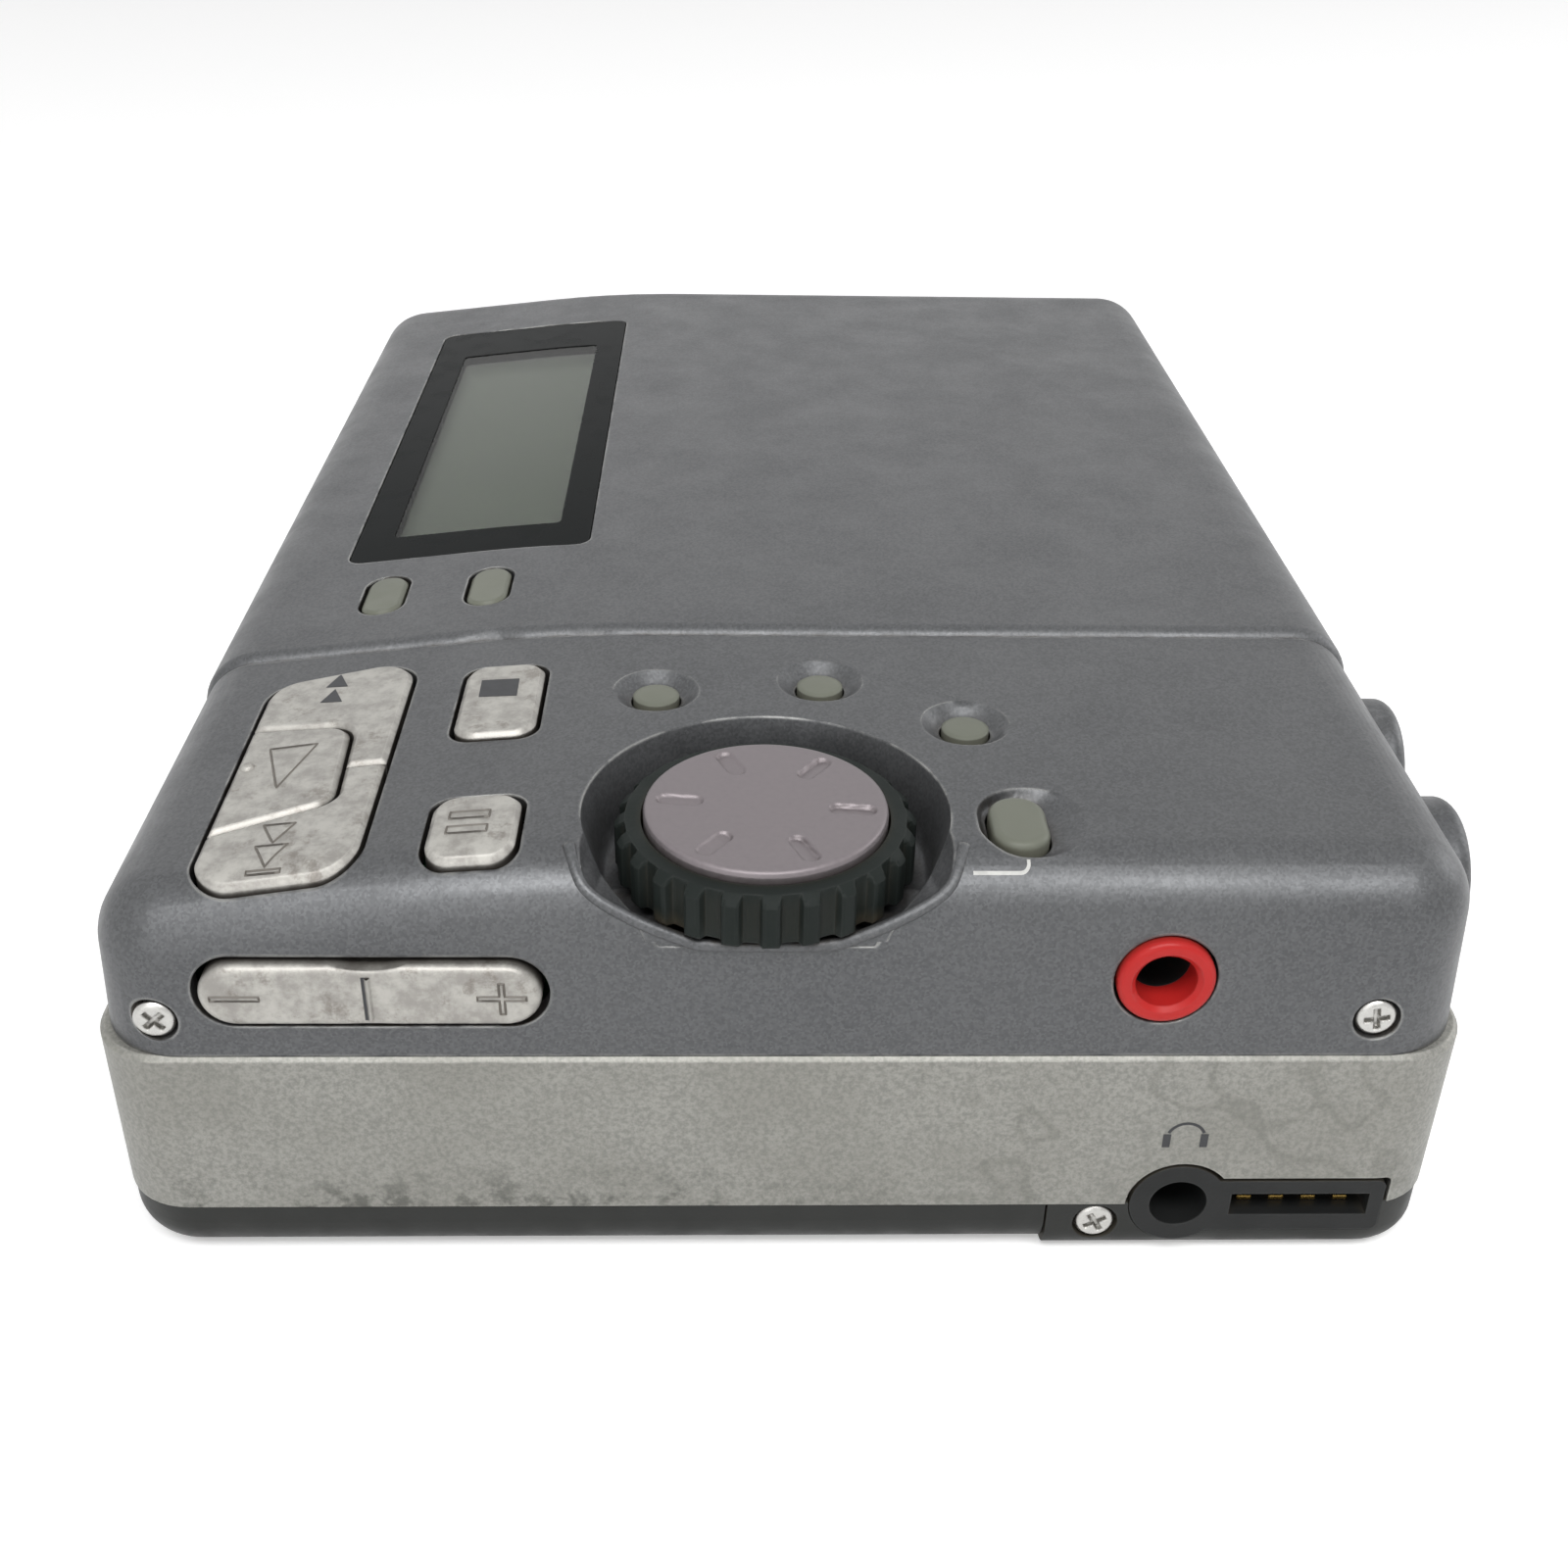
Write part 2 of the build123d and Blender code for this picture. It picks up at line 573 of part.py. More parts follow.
# ---------------------------------------------------------------- volume rocker
def volume_rocker():
    """A waisted pill that rocks on an upright pin behind its middle."""
    outline = Plane.XZ.offset(55.9) * Pos(ROCKER_X, ROCKER_Z) * SlotOverall(ROCKER_LONG, ROCKER_TALL)
    key = extrude(outline, amount=1.75)
    key = fillet(key.faces().sort_by(Axis.Y)[0].edges(), 0.55)
    for side in (-1, 1):
        waist = rod((ROCKER_X, -60, ROCKER_Z + side * (ROCKER_TALL / 2 + 9.75)), (0, 1, 0), 10.0, 6)
        key -= waist
    key += box(ROCKER_X - 1.6, ROCKER_X + 1.6, -56.0, ROCKER_PIVOT_Y, ROCKER_Z - 1.4, ROCKER_Z + 1.4)
    key += rod((ROCKER_X, ROCKER_PIVOT_Y, ROCKER_Z - 1.4), (0, 0, 1), 1.4, 2.8)
    return key - rod((ROCKER_X, ROCKER_PIVOT_Y, 15), (0, 0, 1), 0.6 + RUNNING, 10)


def rocker_pin():
    pin = rod((ROCKER_X, ROCKER_PIVOT_Y, BOARD_TOP), (0, 0, 1), 0.6, 5.2)
    foot = box(ROCKER_X - 2.5, ROCKER_X + 2.5, ROCKER_PIVOT_Y - 0.9, ROCKER_PIVOT_Y + 2, BOARD_TOP, BOARD_TOP + 0.9)
    return pin + foot


# ---------------------------------------------------------------- sockets
def mic_jack_collar():
    y = front_face_y(MIC[1])
    ring = rod((MIC[0], y - 0.45, MIC[1]), (0, 1, 0), MIC_RING_R, 2.2)
    ring = fillet(ring.edges().filter_by(GeomType.CIRCLE).sort_by(Axis.Y)[0], 0.4)
    ring -= rod((MIC[0], -60, MIC[1]), (0, 1, 0), JACK_BORE_R, 8)
    mouth = ring.edges().filter_by(GeomType.CIRCLE).sort_by(Axis.Y)
    mouth = [e for e in mouth if e.radius < 2 and e.center().Y < y]
    return chamfer(mouth, 0.3)


def mic_jack():
    y = front_face_y(MIC[1]) + 1.75
    body = box(MIC[0] - 3.1, MIC[0] + 3.1, y, y + 12.5, MIC[1] - 3.2, MIC[1] + 3.1)
    return body - rod((MIC[0], y - 1, MIC[1]), (0, 1, 0), JACK_BORE_R, 12.5)


def line_jack(y):
    end = BOSS_END - 0.5
    body = rod((end - 5.5, y, LINE_Z), (1, 0, 0), 3.2, 5.5)
    body += box(end - 13.5, end - 5.5, y - 3.2, y + 3.2, LINE_Z - 3.2, LINE_Z + 3.2)
    return body - rod((end - 12.5, y, LINE_Z), (1, 0, 0), JACK_BORE_R, 14)


def remote_socket():
    face = DEPTH / 2 - 0.05
    block = extrude(Plane.XZ.offset(face - 13) * socket_outline(), amount=13)
    block -= rod((PHONES[0], -60, PHONES[1]), (0, 1, 0), JACK_BORE_R, 14)
    slot = Plane.XZ.offset(face - 6) * Pos(32.3, 4.3) * Rectangle(8.7, 1.75)
    return block - extrude(slot, amount=8)


def remote_contacts():
    pin = box(-0.45, 0.45, -56.2, -51.6, 3.5, 3.8)
    return [Pos(29.2 + 2.05 * number, 0, 0) * pin for number in range(4)]


def dc_jack():
    """The power socket's body and, standing on its bore's floor, the centre pin."""
    y, z = DC_JACK
    floor_x = 33.0
    body = rod((38.5, y, z), (1, 0, 0), 3.2, 2.65)
    body += box(30.5, 38.5, y - 3.6, y + 3.6, z - 3.6, z + 3.6)
    body -= rod((floor_x, y, z), (1, 0, 0), 2.1, 10)
    return [body, rod((floor_x, y, z), (1, 0, 0), 0.6, 7.4)]


# ---------------------------------------------------------------- slide switches
def open_slider():
    y0, y1, z0, z1 = OPEN_SLOT
    knob = box(-WIDTH / 2 - 0.8, -39.3, y0 + 0.2, y0 + 7.8, z0 + 0.25, z1 - 0.25)
    knob = fillet(knob.faces().sort_by(Axis.X)[0].edges(), 0.5)
    for number in range(4):
        knob -= box(-WIDTH / 2 - 1, -WIDTH / 2 - 0.45, y0 + 1.9 + 1.2 * number, y0 + 2.5 + 1.2 * number, z0, z1)
    carrier = box(-39.5, -38.6, y0 - 3, y0 + 12, z0 - 1.2, z1 + 1.2)
    return knob + carrier


def hold_slider():
    y0, y1, z0, z1 = HOLD_SLOT
    knob = box(39.3, WIDTH / 2 + 0.7, y0 + 0.2, y0 + 6.8, z0 + 0.25, z1 - 0.25)
    knob = fillet(knob.faces().sort_by(Axis.X)[-1].edges(), 0.5)
    for number in range(3):
        knob -= box(WIDTH / 2 + 0.35, WIDTH / 2 + 1, y0 + 1.9 + 1.2 * number, y0 + 2.5 + 1.2 * number, z0, z1)
    return knob + box(38.6, 39.5, y0 - 2, y0 + 10, z0 - 1.2, z1 + 1.2)


# ---------------------------------------------------------------- disc mechanism
def chassis_deck():
    deck = plate(-39.2, 39.2, -26.3, 54.5, DECK_LOW, DECK_TOP, 2.0)
    deck -= rod((0, DISC_Y, 10), (0, 0, 1), 6.6, 10)
    deck -= plate(10.0, 38.0, DISC_Y - 5.2, DISC_Y + 5.2, 10, 20, 1.0)
    deck -= plate(-33, -17, 36, 50, 10, 20, 2)
    for x0, x1 in ((7.2, 8.8), (38.2, 39.2)):
        for shift in (-ROD_SHIFT, ROD_SHIFT):
            deck += box(x0, x1, DISC_Y + shift - 2, DISC_Y + shift + 2, ROD_Z - 2, DECK_LOW)
        deck += box(x0, x1, SCREW_Y - 2.4, SCREW_Y + 2.4, SCREW_Z - 2.2, DECK_LOW)
    for shift in (-ROD_SHIFT, ROD_SHIFT):
        deck -= rod((0, DISC_Y + shift, ROD_Z), (1, 0, 0), ROD_R, 50)
    deck -= rod((0, SCREW_Y, SCREW_Z), (1, 0, 0), LEAD_R + RUNNING, 50)
    for x, y in ((-27, -14), (27, 37)):
        deck += rod((x, y, DECK_TOP), (0, 0, 1), 1.2, 1.2)
    return deck


def spindle_motor():
    motor = rod((0, DISC_Y, 9.0), (0, 0, 1), 9.0, 5.4)
    motor = chamfer(motor.edges().filter_by(GeomType.CIRCLE).sort_by(Axis.Z)[0], 0.6)
    return motor - rod((0, DISC_Y, 9.8), (0, 0, 1), 0.75 + RUNNING, 8)


def turntable():
    table = rod((0, DISC_Y, 15.6), (0, 0, 1), 5.6, 1.5)
    table = chamfer(table.edges().filter_by(GeomType.CIRCLE).sort_by(Axis.Z)[-1], 0.4)
    nose = rod((0, DISC_Y, 17.1), (0, 0, 1), 1.95, 1.1)
    nose = chamfer(nose.edges().filter_by(GeomType.CIRCLE).sort_by(Axis.Z)[-1], 0.7)
    return table + nose + rod((0, DISC_Y, 10.0), (0, 0, 1), 0.75, 6)


def guide_rods():
    return [rod((7.2, DISC_Y + shift, ROD_Z), (1, 0, 0), ROD_R, 32.0) for shift in (-ROD_SHIFT, ROD_SHIFT)]


def optical_pickup():
    """A die-cast block on two guide rods, with a lens turret that shows through the deck."""
    x0 = LENS_X - 4.7
    block = box(x0, x0 + 11.5, DISC_Y - 8.5, DISC_Y + 8.5, 6.4, 12.6)
    block += box(x0, x0 + 11.5, DISC_Y + 8.5, DISC_Y + 13.3, 7.8, 12.2)
    block += box(x0 + 3, x0 + 8, DISC_Y - 13.3, DISC_Y - 8.5, 8.6, 11.4)
    block += plate(x0 + 0.7, x0 + 10.0, DISC_Y - 4.4, DISC_Y + 4.4, 12.6, 15.0, 1.0)
    block -= rod((0, DISC_Y + ROD_SHIFT, ROD_Z), (1, 0, 0), ROD_R + RUNNING, 50)
    block -= box(x0 + 2, x0 + 9, DISC_Y - 14, DISC_Y - 10.7, ROD_Z - 0.8, ROD_Z + 0.8)
    block -= rod((LENS_X, DISC_Y, 13.6), (0, 0, 1), 2.6, 3)
    return block + box(x0 + 3, x0 + 8.5, DISC_Y + 13.2, SCREW_Y - 1.25, 8.2, 10.8)


def objective_lens():
    holder = tube((LENS_X, DISC_Y, 13.6), (0, 0, 1), 2.55, 1.9, 1.5)
    dome = rod((LENS_X, DISC_Y, 13.6), (0, 0, 1), 1.9, 1.2)
    return holder + fillet(dome.edges().filter_by(GeomType.CIRCLE).sort_by(Axis.Z)[-1], 0.7)


def gear(teeth, thickness, bore):
    """A spur gear on Z: straight-sided teeth, thinner than their spaces, so a pair runs freely."""
    pitch_r = MODULE * teeth / 2
    blank = extrude(Circle(pitch_r - 1.2 * MODULE), amount=thickness)
    half_root = math.pi * MODULE / 4 * 1.25
    half_tip = math.pi * MODULE / 4 * 0.42
    root = pitch_r - 1.35 * MODULE
    tip = pitch_r + 0.85 * MODULE
    tooth = make_face(Polyline((root, -half_root), (tip, -half_tip), (tip, half_tip), (root, half_root), close=True))
    for number in range(teeth):
        blank += extrude(Rot(0, 0, number * 360 / teeth) * tooth, amount=thickness)
    return blank - Pos(0, 0, -1) * extrude(Circle(bore), amount=thickness + 2)


GEAR_X = 5.0
MOTOR_Y = SCREW_Y + MODULE * (GEAR_TEETH + PINION_TEETH) / 2


def lead_screw():
    return rod((3.4, SCREW_Y, SCREW_Z), (1, 0, 0), LEAD_R, 35.8)


def on_x_axis(solid, x, y, z, turn=0.0):
    return Pos(x, y, z) * Rot(0, 90, 0) * Rot(0, 0, turn) * solid


def lead_screw_gear():
    return on_x_axis(gear(GEAR_TEETH, 1.6, LEAD_R), GEAR_X, SCREW_Y, SCREW_Z, 90)


def motor_pinion():
    shaft = rod((3.0, MOTOR_Y, SCREW_Z), (1, 0, 0), 0.5, 3.8)
    return on_x_axis(gear(PINION_TEETH, 1.9, 0.5), GEAR_X - 0.15, MOTOR_Y, SCREW_Z, 90 + 18) + shaft


def sled_motor():
    motor = rod((-10.0, MOTOR_Y, SCREW_Z), (1, 0, 0), 4.0, 12.8)
    motor = chamfer(motor.edges().filter_by(GeomType.CIRCLE), 0.4)
    return motor - rod((1.0, MOTOR_Y, SCREW_Z), (1, 0, 0), 0.5 + RUNNING, 3)


BOARD_LOW = 3.7


def main_board():
    board = box(-32.6, 32.6, -25.6, 54.0, BOARD_LOW, BOARD_LOW + 0.8)
    return board + box(-38.0, 38.0, -19.4, 48.4, BOARD_LOW, BOARD_LOW + 0.8)


def board_chips():
    places = [(-25, 9, 7.0), (-25, 29, 5.0), (-4, -12, 6.0), (19, 41, 5.0)]
    return [box(x - half, x + half, y - half, y + half, BOARD_LOW - 1.3, BOARD_LOW) for x, y, half in places]


def control_board():
    return plate(-38.5, 36.2, -54.8, -28.6, BOARD_TOP - 0.8, BOARD_TOP, 4.0)


def switch_places():
    places = [(-30.5, -34.0), (-31.0, -43.5), (-29.5, -52.0), (STOP[0], STOP[1]), (PAUSE[0], PAUSE[1])]
    places += list(ROUND_BUTTONS.values())
    places.append((TITLE[0], TITLE[1]))
    return places


def tact_switches():
    high = KEY_STEM_LOW - 0.65
    return [box(x - 1.6, x + 1.6, y - 1.6, y + 1.6, BOARD_TOP, high) for x, y in switch_places()]


# ---------------------------------------------------------------- screws
def screw(length):
    """A small screw, its head's top at Z = 0 and its shank below."""
    head = Pos(0, 0, -SCREW_HEAD_TALL / 2) * Cylinder(SCREW_HEAD_R, SCREW_HEAD_TALL)
    head = chamfer(head.edges().filter_by(GeomType.CIRCLE).sort_by(Axis.Z)[-1], 0.2)
    return head + Pos(0, 0, -SCREW_HEAD_TALL - length / 2) * Cylinder(SCREW_SHANK_R, length)


def case_screws():
    screws = []
    for x, z in FRONT_SCREWS:
        screws.append(Pos(x, front_face_y(z), z) * Rot(90, 0, 20) * screw(4.0))
    x, z = SIDE_SCREW
    screws.append(Pos(x, -DEPTH / 2 + 0.1, z) * Rot(90, 0, 35) * screw(4.0))
    for x, y in POSTS:
        screws.append(Pos(x, y, 0.05) * Rot(180, 0, 0) * screw(5.0))
    return screws


def export(name, shape):
    solids = shape if isinstance(shape, list) else [shape]
    solids = [piece for solid in solids for piece in solid.solids()]
    export_step(Compound(children=solids) if len(solids) > 1 else solids[0], f"parts/{name}.step")


def main():
    os.makedirs("parts", exist_ok=True)
    nodes = {
        "front_shell": front_shell, "middle_band": middle_band, "bottom_cover": bottom_cover,
        "battery_door": battery_door, "door_hinge_rod": door_hinge_rod, "battery": battery,
        "battery_contacts": battery_contacts, "lid_shell": lid_shell, "hinge_pins": hinge_pins,
        "lcd_bezel": lcd_bezel, "lcd_window": lcd_window, "lcd_panel": lcd_panel,
        "lid_board": lid_board, "disc_holder": disc_holder, "jog_ring": jog_ring, "jog_cap": jog_cap,
        "jog_shaft": jog_shaft, "jog_encoder": jog_encoder, "volume_rocker": volume_rocker,
        "rocker_pin": rocker_pin, "mic_jack_collar": mic_jack_collar, "mic_jack": mic_jack,
        "remote_socket": remote_socket, "remote_contacts": remote_contacts, "dc_jack": dc_jack,
        "open_slider": open_slider, "hold_slider": hold_slider, "chassis_deck": chassis_deck,
        "spindle_motor": spindle_motor, "turntable": turntable, "guide_rods": guide_rods,
        "optical_pickup": optical_pickup, "objective_lens": objective_lens, "lead_screw": lead_screw,
        "lead_screw_gear": lead_screw_gear, "motor_pinion": motor_pinion, "sled_motor": sled_motor,
        "main_board": main_board, "board_chips": board_chips,
        "control_board": control_board, "tact_switches": tact_switches, "case_screws": case_screws,
        "title_button": title_button,
    }
    for name, make in nodes.items():
        export(name, make())
    export("mode_key", lid_key(MODE))
    export("display_key", lid_key(SHOW))
    export("line_in_jack", line_jack(LINE_Y[1]))
    export("line_out_jack", line_jack(LINE_Y[0]))
    export("rewind_key", key_solid(rewind_outline(), -30.5, -34.0))
    export("play_key", key_solid(cluster_outline() & play_outline(), -31.0, -43.5))
    export("fast_forward_key", key_solid(forward_outline(), -29.5, -52.0))
    export("stop_key", key_solid(square_key(*STOP), STOP[0], STOP[1]))
    export("pause_key", key_solid(square_key(*PAUSE), PAUSE[0], PAUSE[1]))
    for name, (x, y) in ROUND_BUTTONS.items():
        export(name, round_button(x, y))


main()
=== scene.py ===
import json
import math

import bmesh
import bpy
from mathutils import Matrix, Vector
from mathutils.bvhtree import BVHTree


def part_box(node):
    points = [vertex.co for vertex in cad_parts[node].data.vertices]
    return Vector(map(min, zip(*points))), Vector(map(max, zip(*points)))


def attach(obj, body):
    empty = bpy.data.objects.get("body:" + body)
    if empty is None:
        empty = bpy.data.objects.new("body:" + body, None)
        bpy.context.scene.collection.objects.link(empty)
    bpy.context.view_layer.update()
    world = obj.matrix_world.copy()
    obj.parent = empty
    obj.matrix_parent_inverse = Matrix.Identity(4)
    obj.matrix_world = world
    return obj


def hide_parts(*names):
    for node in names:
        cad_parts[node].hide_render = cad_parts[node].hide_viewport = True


# Looks of the portable minidisc player. Places and sizes are in millimetres in the
# model's frame, and MM turns them into Blender's metres. Those of the lamps and the
# floor are in metres.

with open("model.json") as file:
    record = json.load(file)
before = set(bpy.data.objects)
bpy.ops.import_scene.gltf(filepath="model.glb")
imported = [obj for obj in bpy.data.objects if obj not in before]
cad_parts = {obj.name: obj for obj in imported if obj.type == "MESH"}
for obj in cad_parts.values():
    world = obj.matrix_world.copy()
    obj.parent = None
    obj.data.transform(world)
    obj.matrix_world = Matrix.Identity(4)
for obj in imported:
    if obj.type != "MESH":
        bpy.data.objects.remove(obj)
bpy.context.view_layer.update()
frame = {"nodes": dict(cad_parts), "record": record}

MM = 0.001

# Camera, fitted to the 1600 x 1600 photograph
FRAME_PX = 1600
FOCAL_PX = 1852.06
SENSOR = 36.0
CAMERA_AT = (-3.31, -140.05, 85.52)
PITCH = 0.5482
YAW = 0.0336
ROLL = -0.0206


# ------------------------------------------------------------------ node graphs
class Graph:
    """A material under construction, with short calls for the nodes it needs."""

    def __init__(self, name):
        self.material = bpy.data.materials.new(name)
        self.material.use_nodes = True
        self.tree = self.material.node_tree
        self.shader = self.tree.nodes["Principled BSDF"]
        self.coords = self.tree.nodes.new("ShaderNodeTexCoord").outputs["Object"]

    def node(self, kind, **settings):
        made = self.tree.nodes.new(kind)
        for key, value in settings.items():
            setattr(made, key, value)
        return made

    def put(self, value, socket):
        """Links a socket or sets a plain value."""
        if isinstance(value, bpy.types.NodeSocket):
            self.tree.links.new(value, socket)
        else:
            socket.default_value = value

    def set(self, **values):
        for key, value in values.items():
            self.put(value, self.shader.inputs[key.replace("_", " ")])
        return self

    def noise(self, size, detail=3.0, roughness=0.5):
        """Noise whose features are about size millimetres across."""
        made = self.node("ShaderNodeTexNoise")
        made.inputs["Scale"].default_value = 1 / (size * MM)
        made.inputs["Detail"].default_value = detail
        made.inputs["Roughness"].default_value = roughness
        self.put(self.coords, made.inputs["Vector"])
        return made.outputs["Fac"]

    def cells(self, size):
        made = self.node("ShaderNodeTexVoronoi")
        made.inputs["Scale"].default_value = 1 / (size * MM)
        self.put(self.coords, made.inputs["Vector"])
        return made.outputs["Color"]

    def span(self, value, low, high, out_low=0.0, out_high=1.0):
        """Maps low..high smoothly to out_low..out_high."""
        made = self.node("ShaderNodeMapRange", interpolation_type="SMOOTHSTEP")
        self.put(value, made.inputs["Value"])
        made.inputs["From Min"].default_value = low
        made.inputs["From Max"].default_value = high
        made.inputs["To Min"].default_value = out_low
        made.inputs["To Max"].default_value = out_high
        return made.outputs["Result"]

    def math(self, operation, a, b=0.0):
        made = self.node("ShaderNodeMath", operation=operation)
        self.put(a, made.inputs[0])
        self.put(b, made.inputs[1])
        return made.outputs[0]

    def mix(self, factor, a, b):
        made = self.node("ShaderNodeMix", data_type="RGBA")
        self.put(factor, made.inputs["Factor"])
        self.put(colour(a), made.inputs[6])
        self.put(colour(b), made.inputs[7])
        return made.outputs[2]

    def axis(self, name):
        made = self.node("ShaderNodeSeparateXYZ")
        self.put(self.coords, made.inputs[0])
        return made.outputs[name]

    def rounded(self, radius):
        made = self.node("ShaderNodeBevel", samples=4)
        made.inputs["Radius"].default_value = radius * MM
        return made.outputs["Normal"]

    def edges(self, radius):
        """1 on an edge, 0 away from it."""
        normal = self.node("ShaderNodeNewGeometry").outputs["Normal"]
        dot = self.node("ShaderNodeVectorMath", operation="DOT_PRODUCT")
        self.put(self.rounded(radius), dot.inputs[0])
        self.put(normal, dot.inputs[1])
        return self.span(dot.outputs["Value"], 0.80, 0.985, 1.0, 0.0)

    def hollows(self, reach):
        """1 deep in a corner or recess, 0 in the open."""
        made = self.node("ShaderNodeAmbientOcclusion", samples=6)
        made.inputs["Distance"].default_value = reach * MM
        return self.span(made.outputs["AO"], 0.35, 0.85, 1.0, 0.0)

    def bump(self, height, depth, strength=1.0, normal=None):
        made = self.node("ShaderNodeBump")
        made.inputs["Strength"].default_value = strength
        made.inputs["Distance"].default_value = depth * MM
        self.put(height, made.inputs["Height"])
        if normal is not None:
            self.put(normal, made.inputs["Normal"])
        return made.outputs["Normal"]


def colour(value):
    if isinstance(value, tuple) and len(value) == 3:
        return (*value, 1.0)
    return value


def srgb(red, green, blue):
    """A linear colour from 0..255 screen values."""
    def linear(channel):
        share = channel / 255
        return share / 12.92 if share <= 0.04045 else ((share + 0.055) / 1.055) ** 2.4
    return (linear(red), linear(green), linear(blue))


# ------------------------------------------------------------------ materials
def metallic_paint():
    g = Graph("case_grey")
    flake = g.span(g.cells(0.16), 0.0, 1.0)
    cloud = g.noise(14.0, 4.0)
    tone = g.mix(cloud, srgb(77, 78, 80), srgb(93, 94, 95))
    tone = g.mix(g.math("MULTIPLY", flake, 0.3), tone, srgb(126, 127, 129))
    worn = g.math("MULTIPLY", g.edges(0.35), g.span(g.noise(3.0, 5.0, 0.6), 0.35, 0.6))
    tone = g.mix(g.math("MULTIPLY", worn, 0.7), tone, srgb(200, 200, 196))
    # grime and painted shade: patchy brown darkening in hollows and corners, where shade falls
    grime_and_shade = g.math("MULTIPLY", g.hollows(1.6), g.span(g.noise(1.6, 4.0), 0.3, 0.7))
    tone = g.mix(g.math("MULTIPLY", grime_and_shade, 0.8), tone, srgb(62, 54, 44))
    rough = g.span(g.noise(5.0, 5.0, 0.65), 0.25, 0.75, 0.34, 0.48)
    normal = g.bump(g.noise(0.22, 2.0), 0.012, 0.5, g.rounded(0.25))
    g.shader.inputs["Specular IOR Level"].default_value = 0.3
    return g.set(Base_Color=tone, Metallic=0.6, Roughness=rough, Normal=normal).material


def silver_band():
    """Champagne paint with fine grain, stains low on the left and water marks near the socket."""
    g = Graph("band_silver")
    across = g.axis("X")
    height = g.axis("Z")
    grain = g.noise(0.28, 2.0, 0.7)
    tone = g.mix(g.span(grain, 0.3, 0.7), srgb(128, 128, 123), srgb(152, 151, 145))
    tone = g.mix(g.span(g.noise(9.0, 4.0), 0.35, 0.7, 0.0, 0.35), tone, srgb(120, 119, 112))
    low = g.span(height, 0.0044, 0.0085, 1.0, 0.0)
    blots = g.span(g.noise(3.2, 6.0, 0.7), 0.47, 0.62)
    stain = g.math("MULTIPLY", low, blots)
    stain = g.math("MULTIPLY", stain, g.span(across, -0.01, 0.01, 1.0, 0.25))
    tone = g.mix(g.math("MULTIPLY", stain, 0.75), tone, srgb(72, 73, 68))
    contour = g.math("ABSOLUTE", g.math("SUBTRACT", g.noise(11.0, 2.0), 0.5))
    ring = g.math("MULTIPLY", g.span(contour, 0.0, 0.02, 1.0, 0.0), g.span(across, 0.004, 0.012))
    tone = g.mix(g.math("MULTIPLY", ring, 0.35), tone, srgb(105, 105, 99))
    worn = g.math("MULTIPLY", g.edges(0.25), g.span(g.noise(2.0, 5.0), 0.4, 0.6))
    tone = g.mix(g.math("MULTIPLY", worn, 0.5), tone, srgb(205, 204, 196))
    normal = g.bump(grain, 0.012, 0.6, g.rounded(0.2))
    return g.set(Base_Color=tone, Metallic=0.55, Roughness=0.46, Normal=normal).material


def moulded(name, light, dark, roughness=0.5, grain=0.25, depth=0.02, dust=0.3, specular=0.22):
    """Moulded plastic with a fine texture, a little dust in its corners and a faint painted highlight on
    every edge.
    """
    g = Graph(name)
    g.shader.inputs["Specular IOR Level"].default_value = specular
    fine = g.noise(grain, 2.0)
    tone = g.mix(g.noise(6.0, 4.0), light, dark)
    tone = g.mix(g.math("MULTIPLY", g.hollows(1.0), dust), tone, srgb(92, 84, 70))
    # painted highlight: every edge a little lighter
    tone = g.mix(g.math("MULTIPLY", g.edges(0.2), 0.12), tone, srgb(120, 122, 120))
    rough = g.span(g.noise(2.5, 4.0), 0.3, 0.7, roughness - 0.06, roughness + 0.08)
    return g.set(Base_Color=tone, Roughness=rough, Normal=g.bump(fine, depth, 0.5, g.rounded(0.15))).material


def worn_keys_with_painted_light():
    g = Graph("key_silver")
    mottle = g.noise(1.5, 7.0, 0.72)
    tone = g.mix(g.span(mottle, 0.35, 0.65), srgb(150, 147, 142), srgb(182, 180, 174))
    tone = g.mix(g.span(g.noise(2.6, 7.0, 0.75), 0.54, 0.66, 0.0, 0.55), tone, srgb(108, 100, 92))
    # painted shade: dark brown in the keys' hollows and the gaps round them
    tone = g.mix(g.math("MULTIPLY", g.hollows(1.2), 0.85), tone, srgb(54, 47, 40))
    # painted highlight: every edge of the keys lighter
    tone = g.mix(g.math("MULTIPLY", g.edges(0.25), 0.45), tone, srgb(214, 212, 206))
    rough = g.span(mottle, 0.3, 0.7, 0.3, 0.5)
    normal = g.bump(mottle, 0.02, 0.4, g.rounded(0.25))
    return g.set(Base_Color=tone, Metallic=0.5, Roughness=rough, Normal=normal).material


def satin_metal(name, light, dark, roughness, metallic=1.0):
    g = Graph(name)
    brushed = g.noise(0.35, 4.0, 0.6)
    tone = g.mix(brushed, dark, light)
    # painted shade: darker brown in hollows and recesses
    tone = g.mix(g.math("MULTIPLY", g.hollows(1.0), 0.45), tone, srgb(70, 64, 55))
    rough = g.span(brushed, 0.2, 0.8, roughness - 0.07, roughness + 0.08)
    normal = g.bump(brushed, 0.008, 0.4, g.rounded(0.15))
    return g.set(Base_Color=tone, Metallic=metallic, Roughness=rough, Normal=normal).material


def circuit_board():
    g = Graph("board_green")
    made = g.node("ShaderNodeTexBrick")
    made.inputs["Scale"].default_value = 260
    made.inputs["Mortar Size"].default_value = 0.012
    g.put(g.coords, made.inputs["Vector"])
    tone = g.mix(made.outputs["Fac"], srgb(22, 74, 44), srgb(58, 112, 70))
    tone = g.mix(g.span(g.noise(5.0, 4.0), 0.4, 0.7, 0.0, 0.3), tone, srgb(16, 54, 34))
    return g.set(Base_Color=tone, Roughness=0.38, Normal=g.bump(made.outputs["Fac"], 0.02, 0.4)).material


